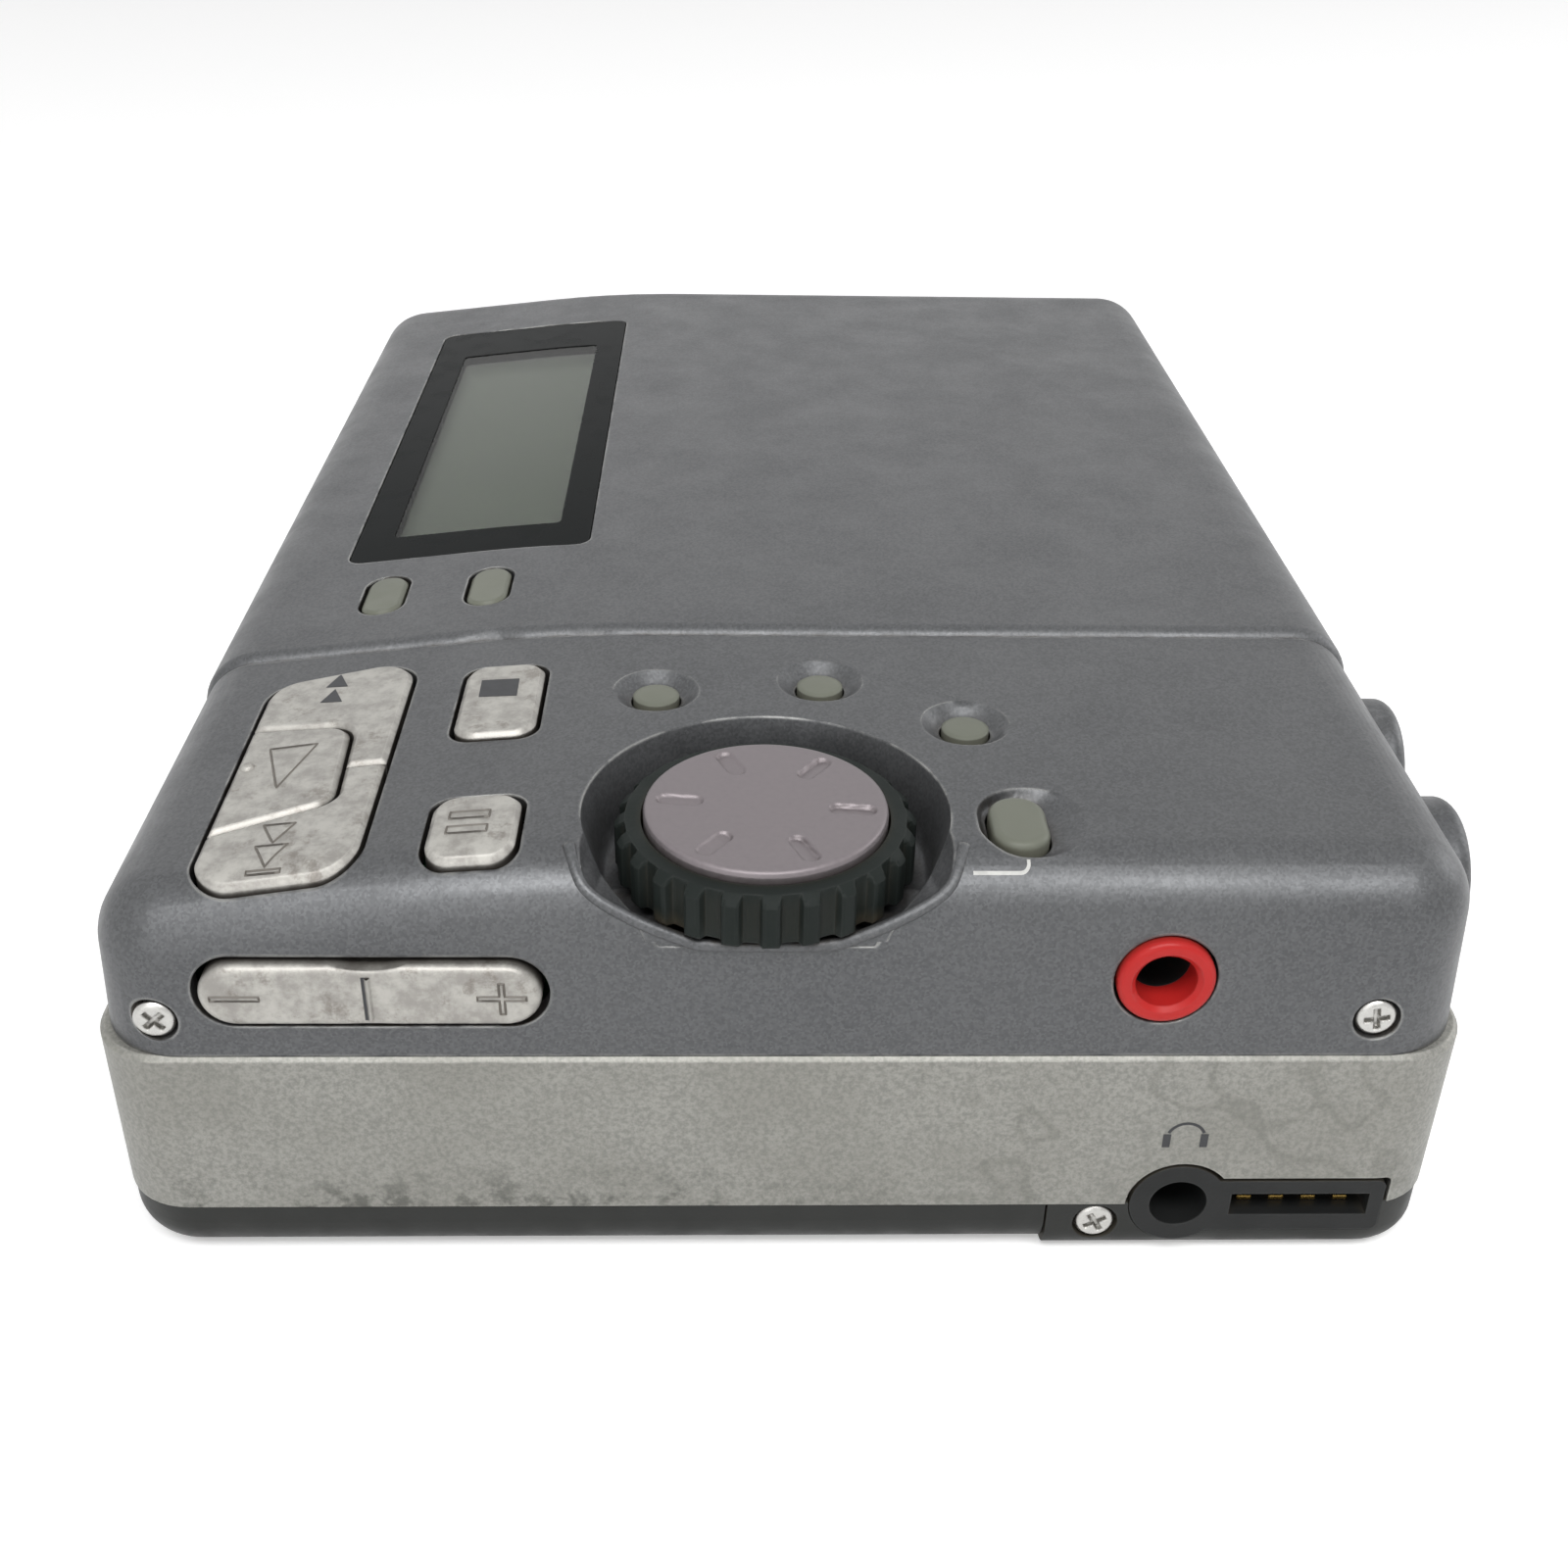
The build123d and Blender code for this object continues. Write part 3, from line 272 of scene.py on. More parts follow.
def display_panel():
    g = Graph("lcd_grey")
    tone = g.mix(g.noise(9.0, 3.0), srgb(54, 60, 50), srgb(64, 70, 60))
    dots = g.span(g.noise(0.3, 1.0), 0.45, 0.55, 0.0, 0.12)
    tone = g.mix(dots, tone, srgb(60, 67, 56))
    g.shader.inputs["Specular IOR Level"].default_value = 0.1
    return g.set(Base_Color=tone, Roughness=0.3, Normal=g.bump(g.noise(0.4, 2.0), 0.005, 0.3)).material


def clear(name, tint, roughness, index=1.49):
    g = Graph(name)
    smear = g.span(g.noise(7.0, 5.0, 0.65), 0.35, 0.75, roughness, roughness + 0.06)
    g.set(Base_Color=colour(tint), Roughness=smear)
    g.shader.inputs["Transmission Weight"].default_value = 1.0
    g.shader.inputs["IOR"].default_value = index
    return g.material


MATERIALS = {
    "case_grey": metallic_paint(),
    "band_silver": silver_band(),
    "base_charcoal": moulded("base_charcoal", srgb(46, 47, 45), srgb(37, 38, 37), 0.5),
    "key_silver": worn_keys_with_painted_light(),
    "button_olive": moulded("button_olive", srgb(120, 122, 110), srgb(104, 107, 97), 0.36, 0.3, 0.01),
    "dial_rubber": moulded("dial_rubber", srgb(34, 39, 37), srgb(25, 30, 28), 0.48, 0.3, 0.02, 0.5, 0.12),
    "dial_cap": satin_metal("dial_cap", srgb(136, 129, 131), srgb(118, 111, 114), 0.42, 0.6),
    "steel": satin_metal("steel", srgb(204, 203, 199), srgb(176, 175, 172), 0.3),
    "contact_gold": satin_metal("contact_gold", srgb(218, 184, 106), srgb(190, 154, 80), 0.26),
    "mic_red": moulded("mic_red", srgb(196, 46, 42), srgb(172, 34, 34), 0.34, 0.4, 0.008, 0.2),
    "black_plastic": moulded("black_plastic", srgb(36, 37, 37), srgb(24, 25, 25), 0.46),
    "switch_grey": moulded("switch_grey", srgb(66, 67, 68), srgb(54, 55, 56), 0.44),
    "board_green": circuit_board(),
    "battery_wrap": moulded("battery_wrap", srgb(56, 58, 62), srgb(46, 48, 52), 0.4, 0.6, 0.01),
    "lcd_black": moulded("lcd_black", srgb(20, 23, 23), srgb(14, 17, 17), 0.22, 0.8, 0.002, 0.05, 0.02),
    "lcd_clear": clear("lcd_clear", srgb(226, 230, 224), 0.03, 1.15),
    "lcd_grey": display_panel(),
    "pickup_alloy": satin_metal("pickup_alloy", srgb(168, 168, 170), srgb(140, 140, 143), 0.5),
    "lens_glass": clear("lens_glass", srgb(190, 200, 232), 0.02),
    "gear_white": moulded("gear_white", srgb(228, 224, 212), srgb(212, 208, 196), 0.45),
    "gear_brass": satin_metal("gear_brass", srgb(214, 180, 104), srgb(184, 148, 78), 0.32),
}


def dress_cad_nodes():
    """Every node takes the material of its slot in the record."""
    for row in frame["record"]["subparts"]:
        node = frame["nodes"][row["node"]]
        node.data.materials.clear()
        node.data.materials.append(MATERIALS[row["material_slot"]])


# ------------------------------------------------------------------ camera, lights, floor
def add_camera():
    data = bpy.data.cameras.new("camera")
    data.sensor_fit = "HORIZONTAL"
    data.sensor_width = SENSOR
    data.lens = SENSOR * FOCAL_PX / FRAME_PX
    data.clip_start = 0.005
    forward = Vector((math.sin(YAW) * math.cos(PITCH), math.cos(YAW) * math.cos(PITCH), -math.sin(PITCH)))
    level = Vector((math.cos(YAW), -math.sin(YAW), 0))
    drop = forward.cross(level)
    right = math.cos(ROLL) * level + math.sin(ROLL) * drop
    down = -math.sin(ROLL) * level + math.cos(ROLL) * drop
    camera = bpy.data.objects.new("camera", data)
    camera.matrix_world = Matrix((right, -down, -forward)).transposed().to_4x4()
    camera.matrix_world.translation = Vector(CAMERA_AT) * MM
    bpy.context.scene.collection.objects.link(camera)
    bpy.context.scene.camera = camera


def add_lamp(name, place, target, size, power):
    data = bpy.data.lights.new(name, "AREA")
    data.shape = "RECTANGLE"
    data.size, data.size_y = size
    data.energy = power
    lamp = bpy.data.objects.new(name, data)
    lamp.location = place
    lamp.rotation_euler = (Vector(target) - Vector(place)).to_track_quat("-Z", "Y").to_euler()
    bpy.context.scene.collection.objects.link(lamp)


def seen_directly(tree):
    """1 for rays from the camera, and for those by which metal and glass show the background."""
    path = tree.nodes.new("ShaderNodeLightPath")
    total = path.outputs["Is Camera Ray"]
    for name in ("Is Glossy Ray", "Is Transmission Ray"):
        most = tree.nodes.new("ShaderNodeMath")
        most.operation = "MAXIMUM"
        tree.links.new(total, most.inputs[0])
        tree.links.new(path.outputs[name], most.inputs[1])
        total = most.outputs[0]
    return total


def add_world(strength):
    world = bpy.data.worlds.new("studio")
    bpy.context.scene.world = world
    world.use_nodes = True
    tree = world.node_tree
    lit = tree.nodes["Background"]
    lit.inputs["Strength"].default_value = strength
    seen = tree.nodes.new("ShaderNodeBackground")
    mix = tree.nodes.new("ShaderNodeMixShader")
    lit.inputs["Color"].default_value = (1, 1, 1, 1)
    seen.inputs["Color"].default_value = (1, 1, 1, 1)
    tree.links.new(seen_directly(tree), mix.inputs["Fac"])
    tree.links.new(lit.outputs[0], mix.inputs[1])
    tree.links.new(seen.outputs[0], mix.inputs[2])
    tree.links.new(mix.outputs[0], tree.nodes["World Output"].inputs["Surface"])


WORLD_LIGHT = 0.36
FLOOR_SIZE = 6.0
FLOOR_GLOW = 0.35

# name, place, target, size of its face and power in watts
LAMPS = [
    ("top_soft", (0.0, -0.42, 0.66), (0, 0, 0.02), (0.7, 0.25), 4.4),
    ("front_fill", (-0.35, -0.75, 0.35), (0, 0, 0.015), (0.6, 0.4), 1.0),
    ("right_rim", (0.75, 0.25, 0.30), (0, 0, 0.015), (0.4, 0.4), 1.2),
]


def add_floor():
    bpy.ops.mesh.primitive_plane_add(size=FLOOR_SIZE, location=(0, 0, 0))
    floor = bpy.context.active_object
    floor.name = "floor"
    g = Graph("floor_white")
    tone = g.mix(g.noise(400.0, 2.0), (0.86, 0.86, 0.86), (0.9, 0.9, 0.9))
    glow = g.math("MULTIPLY", seen_directly(g.tree), FLOOR_GLOW)
    g.set(Base_Color=tone, Roughness=0.9, Emission_Strength=glow)
    g.shader.inputs["Emission Color"].default_value = (1, 1, 1, 1)
    floor.data.materials.append(g.material)


# ------------------------------------------------------------------ pieces made here
def new_piece(name, vertices, faces, body, slot, material):
    mesh = bpy.data.meshes.new(name)
    mesh.from_pydata(vertices, [], faces)
    mesh.update()
    piece = bpy.data.objects.new(name, mesh)
    bpy.context.scene.collection.objects.link(piece)
    mesh.materials.append(material)
    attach(piece, body)
    return piece


def surface_of(*names):
    """A search tree over CAD nodes, in their place at rest."""
    trees = []
    for name in names:
        mesh = frame["nodes"][name].data
        mesh.calc_loop_triangles()
        corners = [v.co.copy() for v in mesh.vertices]
        trees.append(BVHTree.FromPolygons(corners, [t.vertices[:] for t in mesh.loop_triangles]))
    return trees


def stroke_outline(points, width):
    """A ribbon of even width along points, in millimetres on a plane."""
    left, right = [], []
    for number, point in enumerate(points):
        before = points[max(number - 1, 0)]
        after = points[min(number + 1, len(points) - 1)]
        along = Vector((after[0] - before[0], after[1] - before[1])).normalized()
        side = Vector((-along.y, along.x)) * width / 2
        left.append((point[0] + side.x, point[1] + side.y))
        right.append((point[0] - side.x, point[1] - side.y))
    return left, right


def ribbon(points, width, step=0.3, ridge=0.0):
    """A stroke cut into short runs so that it follows a curved face, with its middle raised by ridge."""
    fine = [points[0]]
    for a, b in zip(points, points[1:]):
        runs = max(1, math.ceil(math.dist(a, b) / step))
        fine += [tuple(a[i] + (b[i] - a[i]) * k / runs for i in (0, 1)) for k in range(1, runs + 1)]
    left, right = stroke_outline(fine, width)
    corners = [(*point, -ridge / 2) for point in left]
    corners += [(*point, ridge) for point in fine]
    corners += [(*point, -ridge / 2) for point in right]
    count = len(left)
    faces = []
    for k in range(count - 1):
        faces.append((k, count + k, count + k + 1, k + 1))
        faces.append((count + k, 2 * count + k, 2 * count + k + 1, count + k + 1))
    return corners, faces


def filled(outline, step=0.3):
    """A filled convex outline as rings of quads round its middle."""
    fine = []
    for a, b in zip(outline, outline[1:] + outline[:1]):
        runs = max(1, math.ceil(math.dist(a, b) / step))
        fine += [tuple(a[i] + (b[i] - a[i]) * k / runs for i in (0, 1)) for k in range(runs)]
    middle = tuple(sum(p[i] for p in fine) / len(fine) for i in (0, 1))
    corners = [middle]
    faces = []
    rings = 4
    for ring in range(1, rings + 1):
        corners += [tuple(middle[i] + (p[i] - middle[i]) * ring / rings for i in (0, 1)) for p in fine]
    corners = [(*corner, 0.0) for corner in corners]
    count = len(fine)
    for k in range(count):
        after = (k + 1) % count
        faces.append((0, 1 + k, 1 + after))
        for ring in range(rings - 1):
            inner, outer = 1 + ring * count, 1 + (ring + 1) * count
            faces.append((inner + k, outer + k, outer + after, inner + after))
    return corners, faces


def printed(name, shapes, nodes, body, slot, material, face="top", lift=0.015):
    """Thin marks laid on a CAD surface. face is top (X, Y from above) or front (X, Z from the jack end)."""
    trees = surface_of(*nodes)
    vertices, faces = [], []
    for corners, cells in shapes:
        start = len(vertices)
        for a, b, rise in corners:
            if face == "top":
                origin, way = Vector((a, b, 60)) * MM, Vector((0, 0, -1))
            else:
                origin, way = Vector((a, -90, b)) * MM, Vector((0, 1, 0))
            hits = [tree.ray_cast(origin, way) for tree in trees]
            hits = [hit for hit in hits if hit[0] is not None]
            if not hits:
                raise ValueError(f"{name}: nothing under {a}, {b}")
            hit = min(hits, key=lambda found: found[3])
            vertices.append(hit[0] - way * (lift + rise) * MM)
        faces += [tuple(start + index for index in cell) for cell in cells]
    return new_piece(name, vertices, faces, body, slot, material)


def flat_paint(name, tone, roughness=0.5):
    g = Graph(name)
    patchy = g.mix(g.span(g.noise(0.6, 4.0), 0.35, 0.7), tone, tuple(channel * 0.8 for channel in tone))
    normal = g.bump(g.noise(0.3, 2.0), 0.004, 0.4)
    return g.set(Base_Color=patchy, Roughness=roughness, Normal=normal).material


def box_outline(x0, x1, y0, y1):
    return [(x0, y0), (x1, y0), (x1, y1), (x0, y1)]


def circle(x, y, radius, start=0.0, end=360.0, steps=24):
    turns = [math.radians(start + (end - start) * k / steps) for k in range(steps + 1)]
    return [(x + radius * math.cos(turn), y + radius * math.sin(turn)) for turn in turns]


ENGRAVED = flat_paint("mark_dark", srgb(104, 99, 92))
# dark print, also used for the line of painted shade beside the rocker's ridge
DARK_PRINT_AND_SHADE = flat_paint("dark_print_and_shade", srgb(46, 47, 50))
PRINT_WHITE = flat_paint("print_white", srgb(206, 206, 202))
KEYS = MATERIALS["key_silver"]
LINE = 0.2
RIDGE = 0.07


def stroke(outline):
    """A closed raised outline."""
    return ribbon(outline + outline[:2], LINE, ridge=RIDGE)


def dome(x, y, radius, height, rings=5, spokes=20):
    corners = [(x, y, height)]
    faces = []
    for ring in range(1, rings + 1):
        share = ring / rings
        rise = height * (1 - share ** 2.4) - (0.05 if ring == rings else 0.0)
        corners += [(*point, rise) for point in circle(x, y, radius * share, steps=spokes)[:-1]]
    for spoke in range(spokes):
        after = (spoke + 1) % spokes
        faces.append((0, 1 + spoke, 1 + after))
        for ring in range(rings - 1):
            inner, outer = 1 + ring * spokes, 1 + (ring + 1) * spokes
            faces.append((inner + spoke, outer + spoke, outer + after, inner + after))
    return corners, faces


def add_marks():
    """The plain symbols on the keys, the rocker and the band, and a line of painted shade beside the
    rocker's ridge.
    """
    stop = [filled([(-19.85, -33.65), (-17.35, -33.75), (-17.3, -36.1), (-19.8, -35.95)])]
    printed("stop_mark", stop, ["stop_key"], "stop_key", "key_silver", DARK_PRINT_AND_SHADE)
    back = [filled([(-30.45, y), (-28.95, y - 0.15), (-29.75, y + 1.75)]) for y in (-32.5, -34.6)]
    printed("rewind_mark", back, ["rewind_key"], "rewind_key", "key_silver", DARK_PRINT_AND_SHADE)
    pause = [stroke(box_outline(-19.75, -17.4, y - 0.36, y + 0.36)) for y in (-50.35, -51.9)]
    printed("pause_mark", pause, ["pause_key"], "pause_key", "key_silver", ENGRAVED)
    play = [stroke([(-32.49, -40.3), (-29.51, -40.15), (-31.05, -45.2)])]
    printed("play_mark", play, ["play_key"], "play_key", "key_silver", ENGRAVED)
    ahead = [stroke([(-30.85, y), (-28.95, y), (-29.9, y - 2.0)]) for y in (-49.5, -51.75)]
    ahead.append(stroke(box_outline(-30.92, -28.95, -54.2, -53.95)))
    printed("fast_forward_mark", ahead, ["fast_forward_key"], "fast_forward_key", "key_silver", ENGRAVED)
    printed("play_dot", [dome(-33.49, -42.33, 0.5, 0.26)], ["play_key"], "play_key", "key_silver", KEYS)
    less = [stroke(box_outline(-33.0, -30.2, 20.55, 20.85))]
    more = [stroke([
        (-17.8, 20.58), (-16.55, 20.58), (-16.55, 19.6), (-16.25, 19.6),
        (-16.25, 20.58), (-15.0, 20.58), (-15.0, 20.86), (-16.25, 20.86),
        (-16.25, 21.8), (-16.55, 21.8), (-16.55, 20.86), (-17.8, 20.86),
    ])]
    printed("volume_marks", less + more, ["volume_rocker"], "volume_rocker", "key_silver", ENGRAVED, "front")
    # painted shade: a dark line along one foot of the rocker's raised ridge
    groove = [ribbon([(-24.2, 19.2), (-24.2, 22.25)], LINE)]
    printed("volume_ridge_shade", groove, ["volume_rocker"], "volume_rocker", "key_silver", DARK_PRINT_AND_SHADE, "front")
    ridge = [ribbon([(-23.95, 19.25), (-23.95, 22.2)], 0.5, ridge=0.22)]
    printed("volume_ridge", ridge, ["volume_rocker"], "volume_rocker", "key_silver", KEYS, "front")
    band = circle(24.4, 9.9, 1.15, 20, 160, 16)
    pads = [filled(box_outline(x - 0.24, x + 0.24, 9.15, 10.2)) for x in (23.25, 25.55)]
    phones = [ribbon(band, LINE), *pads]
    printed("phones_mark", phones, ["middle_band"], "case", "band_silver", DARK_PRINT_AND_SHADE, "front")
    bend = circle(13.1, -54.6, 0.5, -90, 0, 6)
    bracket = [ribbon([(10.4, -55.1), (13.1, -55.1), *bend, (13.6, -53.9)], LINE)]
    printed("title_bracket", bracket, ["front_shell"], "case", "case_grey", PRINT_WHITE)


# ------------------------------------------------------------------ screw heads
SCREW_HEAD_R = 1.23
SCREW_DEEP = 0.7
SCREW_CROWN = 0.22
# shares of the radius that are flat and rounded
SCREW_FLAT = 0.72
SCREW_ROUND = 0.28
SCREW_RINGS = 22
SCREW_SPOKES = 72
# half length, half width and depth of the cross, and its soft edge
CROSS_HALF = 0.74
CROSS_WIDE = 0.17
CROSS_DEEP = 0.34
CROSS_SOFT = 0.10
CROSS_SPREAD = 0.04
# middle of each front head's top, and the turn of its cross in degrees
FRONT_SCREWS = [((-36.6, -57.17, 18.7), 42), ((34.6, -57.16, 18.8), 8), ((19.6, -57.4, 2.75), 30)]
BASE_SCREWS = [(-35.5, -22.5), (35.5, -22.5), (-35.5, 51.5), (35.5, 51.5)]
BASE_SCREW_Z = 0.05
BASE_TURN = 20


def disc(matrix, radius, deep, height, rings, spokes):
    """A round cap whose top has the height that height(x, y) gives, down to deep below its middle."""
    vertices, faces = [matrix @ Vector((0, 0, height(0.0, 0.0) * MM))], []
    for ring in range(1, rings + 1):
        for spoke in range(spokes):
            turn = 2 * math.pi * spoke / spokes
            x, y = (radius * ring / rings * way for way in (math.cos(turn), math.sin(turn)))
            vertices.append(matrix @ (Vector((x, y, height(x, y))) * MM))
    for spoke in range(spokes):
        after = (spoke + 1) % spokes
        faces.append((0, 1 + spoke, 1 + after))
        for ring in range(rings - 1):
            inner, outer = 1 + ring * spokes, 1 + (ring + 1) * spokes
            faces.append((inner + spoke, outer + spoke, outer + after, inner + after))
    rim = 1 + (rings - 1) * spokes
    foot = len(vertices)
    for spoke in range(spokes):
        turn = 2 * math.pi * spoke / spokes
        vertices.append(matrix @ (Vector((radius * math.cos(turn), radius * math.sin(turn), -deep)) * MM))
        after = (spoke + 1) % spokes
        faces.append((rim + spoke, foot + spoke, foot + after, rim + after))
    faces.append(tuple(foot + spoke for spoke in reversed(range(spokes))))
    return vertices, faces


def screw_top(x, y):
    """A head with a rounded rim and a cross recess."""
    share = math.hypot(x, y) / SCREW_HEAD_R
    crown = -SCREW_CROWN * max(0.0, (share - SCREW_FLAT) / SCREW_ROUND) ** 2
    narrow, long = sorted((abs(x), abs(y)))
    inside = min(CROSS_WIDE - narrow, CROSS_HALF - long)
    return crown - CROSS_DEEP * min(max((inside + CROSS_SPREAD) / CROSS_SOFT, 0.0), 1.0)


# ------------------------------------------------------------------ dial and round buttons
DIAL = (-1.3, -49.5)
CAP_R = 7.25
CAP_TOP = 28.8
CAP_LOW = 26.2
CAP_EDGE = 0.35
CAP_RINGS = 84
CAP_SPOKES = 300
DIMPLES = 6
DIMPLE_REACH = (3.65, 6.6)
DIMPLE_HALF = 0.62
DIMPLE_DEEP = 0.3
DIMPLE_SOFT = 0.22
# share of the depth at a dimple's shallow side, and what its slant adds
DIMPLE_SHALLOW = 0.45
DIMPLE_SLANT = 0.55
DIMPLE_TURN = -6.0
RING_R = 8.95
RING_LOW = 24.8
RING_TOP = 28.1
RING_GAP = 0.14
TEETH = 24
GROOVE = 0.62
# how deep the wall is at each spoke of a tooth, as a share of GROOVE
TOOTH = [0, 0, 0, 0.15, 0.9, 1, 1, 1, 1, 0.9, 0.15, 0]
BUTTON_R = 1.52
BUTTON_TOP = 28.36
BUTTON_DEEP = 8.6
BUTTON_CROWN = 0.05
BUTTON_CROWN_R = 1.2
BUTTON_FLAT_R = 1.25
BUTTON_EDGE = 0.8
BUTTON_RINGS = 16
BUTTON_SPOKES = 64


def cap_top(x, y):
    """The dial cap: six ovals with slanted floors in a flat face with a rolled edge."""
    radius = math.hypot(x, y)
    edge = max(0.0, radius - (CAP_R - CAP_EDGE))
    height = CAP_EDGE - math.sqrt(max(CAP_EDGE ** 2 - edge ** 2, 0.0))
    inner, outer = DIMPLE_REACH[0] + DIMPLE_HALF, DIMPLE_REACH[1] - DIMPLE_HALF
    sunk = 0.0
    for number in range(DIMPLES):
        turn = math.radians(DIMPLE_TURN + 360 / DIMPLES * number)
        along = x * math.cos(turn) + y * math.sin(turn)
        across = -x * math.sin(turn) + y * math.cos(turn)
        away = math.hypot(along - min(max(along, inner), outer), across)
        steep = 0.5 + 0.5 * across / DIMPLE_HALF
        share = min(max((DIMPLE_HALF - away) / DIMPLE_SOFT, 0.0), 1.0)
        deep = DIMPLE_DEEP * (DIMPLE_SHALLOW + DIMPLE_SLANT * steep)
        sunk = max(sunk, share * share * (3 - 2 * share) * deep)
    return -height - sunk


def button_top(x, y):
    """A button's faintly crowned top, falling away at its rim."""
    radius = math.hypot(x, y)
    crown = BUTTON_CROWN * (radius / BUTTON_CROWN_R) ** 2
    return -crown - BUTTON_EDGE * max(0.0, radius - BUTTON_FLAT_R) ** 1.5


def knurled_ring():
    """The ring's teeth, as a wall whose radius steps in at each groove, and its flat top."""
    spokes = TEETH * len(TOOTH)
    # height and radius of each row, from the foot over the bevel to the wall round the cap
    levels = [
        (RING_LOW, RING_R - 0.12), (RING_LOW + 0.15, RING_R), (RING_TOP - 0.55, RING_R),
        (RING_TOP - 0.25, RING_R - 0.28), (RING_TOP, RING_R - 0.62),
        (RING_TOP, CAP_R + RING_GAP), (CAP_LOW, CAP_R + RING_GAP),
    ]
    vertices, faces = [], []
    for level, radius in levels:
        for spoke in range(spokes):
            turn = 2 * math.pi * (spoke + 0.5) / spokes
            here = min(radius, RING_R - TOOTH[spoke % len(TOOTH)] * GROOVE)
            x = DIAL[0] + here * math.cos(turn)
            y = DIAL[1] + here * math.sin(turn)
            vertices.append(Vector((x, y, level)) * MM)
    for row in range(len(levels) - 1):
        for spoke in range(spokes):
            after = (spoke + 1) % spokes
            low, high = row * spokes, (row + 1) * spokes
            faces.append((low + spoke, low + after, high + after, high + spoke))
    faces.append(tuple(reversed(range(spokes))))
    return vertices, faces


def add_dial():
    place = Matrix.Translation(Vector((*DIAL, CAP_TOP)) * MM)
    shape = disc(place, CAP_R, CAP_TOP - CAP_LOW, cap_top, CAP_RINGS, CAP_SPOKES)
    cap = new_piece("dial_cap", *shape, "dial", "dial_cap", MATERIALS["dial_cap"])
    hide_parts("jog_cap")
    ring = new_piece("dial_ring", *knurled_ring(), "dial", "dial_rubber", MATERIALS["dial_rubber"])
    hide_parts("jog_ring")


def add_round_buttons():
    for name in ("record_button", "end_search_button", "track_mark_button"):
        low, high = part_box(name)
        middle = (Vector(low) + Vector(high)) / 2
        middle.z = BUTTON_TOP * MM
        place = Matrix.Translation(middle)
        shape = disc(place, BUTTON_R, BUTTON_DEEP, button_top, BUTTON_RINGS, BUTTON_SPOKES)
        piece = new_piece(name + "_cap", *shape, name, "button_olive", MATERIALS["button_olive"])
        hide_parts(name)


# ------------------------------------------------------------------ front casing
# height and half width of the recess's lip on the jack end, on both sides of the dial
LIP = [(28.45, 11.3), (27.7, 10.9), (26.7, 10.1), (25.3, 7.2), (24.2, 4.5), (23.9, 3.6)]
LIP_R = 0.38
LIP_INSET = 0.05
# the wedge that flares the recess runs on above the lip and through the casing's wall
FLARE_TOP = (28.9, 11.5)
FLARE_ABOVE = 31.0
FLARE_NEAR = -60.0
FLARE_FAR = -50.0
FLARE_NARROWER = 0.9
# edges steeper than this stay sharp in the shading
SHARP_FROM = math.radians(13)
NORMAL_WEIGHT = 100
# half width and height of the webs' corners in the recess's lower corners, and their Y
WEB = [(3.7, 23.75), (6.7, 23.75), (7.3, 25.3)]
WEB_DEPTH = (-56.88, -56.1)
# the jack end's outer face: Y at a height, its lean, and its rounded top edge
FRONT_Y = -57.3
FRONT_Z = 16.2
LEAN = math.radians(3.0)
ROUND_START = 24.2
ROUND_R = 4.4


def front_face_y(z):
    """The jack end's outer face at height z, with the casing's lean and its rounded top edge."""
    over = min(max(z - ROUND_START, 0.0), ROUND_R)
    return FRONT_Y + (z - FRONT_Z) * math.tan(LEAN) + ROUND_R - math.sqrt(ROUND_R ** 2 - over ** 2)


def flare_cutter():
    """The wedge cut out of the casing at the dial's recess, a little narrower at its far end."""
    outline = [FLARE_TOP, *LIP]
    wide = FLARE_TOP[1]
    vertices, faces = [], []
    for y, shrink in ((FLARE_NEAR, 0.0), (FLARE_FAR, FLARE_NARROWER)):
        right = [(DIAL[0] + half - shrink, y, z) for z, half in outline]
        left = [(DIAL[0] - half + shrink, y, z) for z, half in reversed(outline)]
        top = [(DIAL[0] - wide + shrink, y, FLARE_ABOVE), (DIAL[0] + wide - shrink, y, FLARE_ABOVE)]
        vertices += [Vector(corner) * MM for corner in right + left + top]
    count = len(vertices) // 2
    for k in range(count):
        after = (k + 1) % count
        faces.append((k, after, count + after, count + k))
    faces.append(tuple(reversed(range(count))))
    faces.append(tuple(range(count, 2 * count)))
    mesh = bpy.data.meshes.new("flare")
    mesh.from_pydata(vertices, [], faces)
    shaped = bmesh.new()
    shaped.from_mesh(mesh)
    bmesh.ops.recalc_face_normals(shaped, faces=shaped.faces)
    shaped.to_mesh(mesh)
    shaped.free()
    cutter = bpy.data.objects.new("flare", mesh)
    bpy.context.scene.collection.objects.link(cutter)
    return cutter


def add_front_case():
    """The front casing with its dial recess flared towards the jack end."""
    cutter = flare_cutter()
    copy = bpy.data.objects.new("front_case", frame["nodes"]["front_shell"].data.copy())
    bpy.context.scene.collection.objects.link(copy)
    boolean = copy.modifiers.new("flare", "BOOLEAN")
    boolean.operation = "DIFFERENCE"
    boolean.solver = "EXACT"
    boolean.object = cutter
    bpy.context.view_layer.update()
    depsgraph = bpy.context.evaluated_depsgraph_get()
    shaped_mesh = bpy.data.meshes.new_from_object(copy.evaluated_get(depsgraph))
    copy.modifiers.clear()
    copy.data = shaped_mesh
    for face in shaped_mesh.polygons:
        face.use_smooth = True
    shaped_mesh.set_sharp_from_angle(angle=SHARP_FROM)
    weighted = copy.modifiers.new("weighted", "WEIGHTED_NORMAL")
    weighted.keep_sharp = True
    weighted.weight = NORMAL_WEIGHT
    bpy.data.objects.remove(cutter)
    copy.data.materials.clear()
    copy.data.materials.append(MATERIALS["case_grey"])
    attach(copy, "case")
    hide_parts("front_shell")


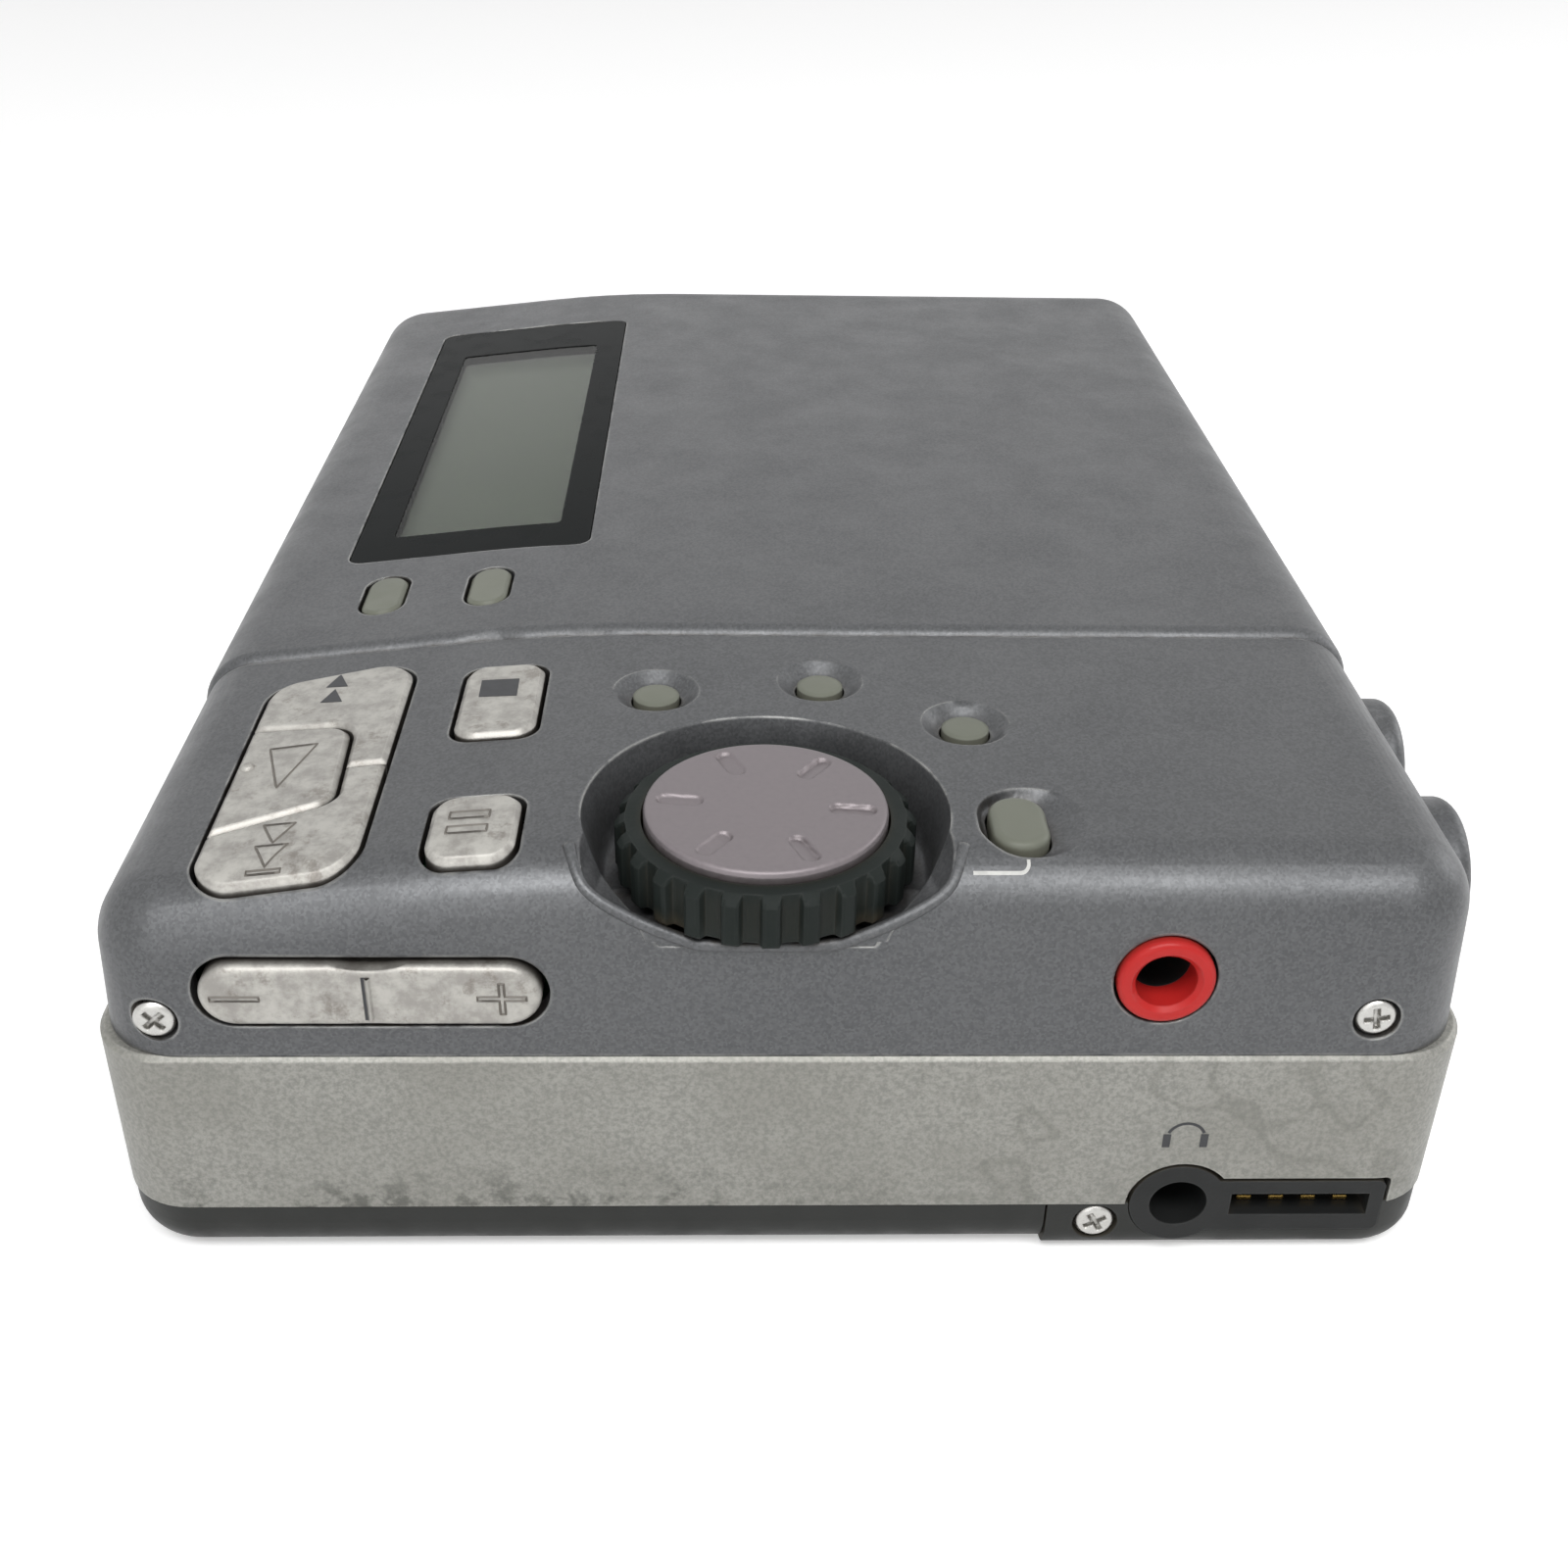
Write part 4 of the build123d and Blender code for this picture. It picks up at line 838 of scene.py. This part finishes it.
def add_lip_webs():
    """Two webs that close the recess's lower corners behind the lip."""
    vertices, faces = [], []
    for side in (-1, 1):
        start = len(vertices)
        for y in WEB_DEPTH:
            vertices += [Vector((DIAL[0] + side * half, y, z)) * MM for half, z in WEB]
        faces += [tuple(start + k for k in face)
                  for face in ((0, 2, 1), (3, 4, 5), (0, 1, 4, 3), (1, 2, 5, 4), (2, 0, 3, 5))]
    new_piece("lip_webs", vertices, faces, "case", "case_grey", MATERIALS["case_grey"])


def add_lip():
    """The rolled lip round the flare."""
    path = [Vector((DIAL[0] + half, front_face_y(z) + LIP_INSET, z)) for z, half in LIP]
    path += [Vector((DIAL[0] - half, front_face_y(z) + LIP_INSET, z)) for z, half in reversed(LIP)]
    line = bpy.data.curves.new("dial_lip", "CURVE")
    line.dimensions = "3D"
    line.bevel_depth = LIP_R * MM
    line.bevel_resolution = 4
    line.use_fill_caps = True
    spline = line.splines.new("NURBS")
    spline.points.add(len(path) - 1)
    for point, place in zip(spline.points, path):
        point.co = (*(place * MM), 1.0)
    spline.order_u = 3
    spline.use_endpoint_u = True
    lip = bpy.data.objects.new("dial_lip", line)
    bpy.context.scene.collection.objects.link(lip)
    line.materials.append(MATERIALS["case_grey"])
    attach(lip, "case")


def add_screws():
    front = Matrix.Rotation(math.pi / 2, 4, "X")
    under = Matrix.Rotation(math.pi, 4, "X")
    places = [(place, front, turn) for place, turn in FRONT_SCREWS]
    places += [((x, y, BASE_SCREW_Z), under, BASE_TURN + x + y) for x, y in BASE_SCREWS]
    vertices, faces = [], []
    for place, facing, turn in places:
        spin = Matrix.Rotation(math.radians(turn), 4, "Z")
        matrix = Matrix.Translation(Vector(place) * MM) @ facing @ spin
        corners, cells = disc(matrix, SCREW_HEAD_R, SCREW_DEEP, screw_top, SCREW_RINGS, SCREW_SPOKES)
        start = len(vertices)
        vertices += corners
        faces += [tuple(start + index for index in cell) for cell in cells]
    piece = new_piece("screw_heads", vertices, faces, "case", "steel", MATERIALS["steel"])
    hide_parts("case_screws")


bpy.context.scene.view_settings.view_transform = "Standard"
dress_cad_nodes()
add_camera()
add_world(WORLD_LIGHT)
for lamp in LAMPS:
    add_lamp(*lamp)
add_floor()
add_marks()
add_screws()
add_dial()
add_round_buttons()
add_front_case()
add_lip_webs()
add_lip()
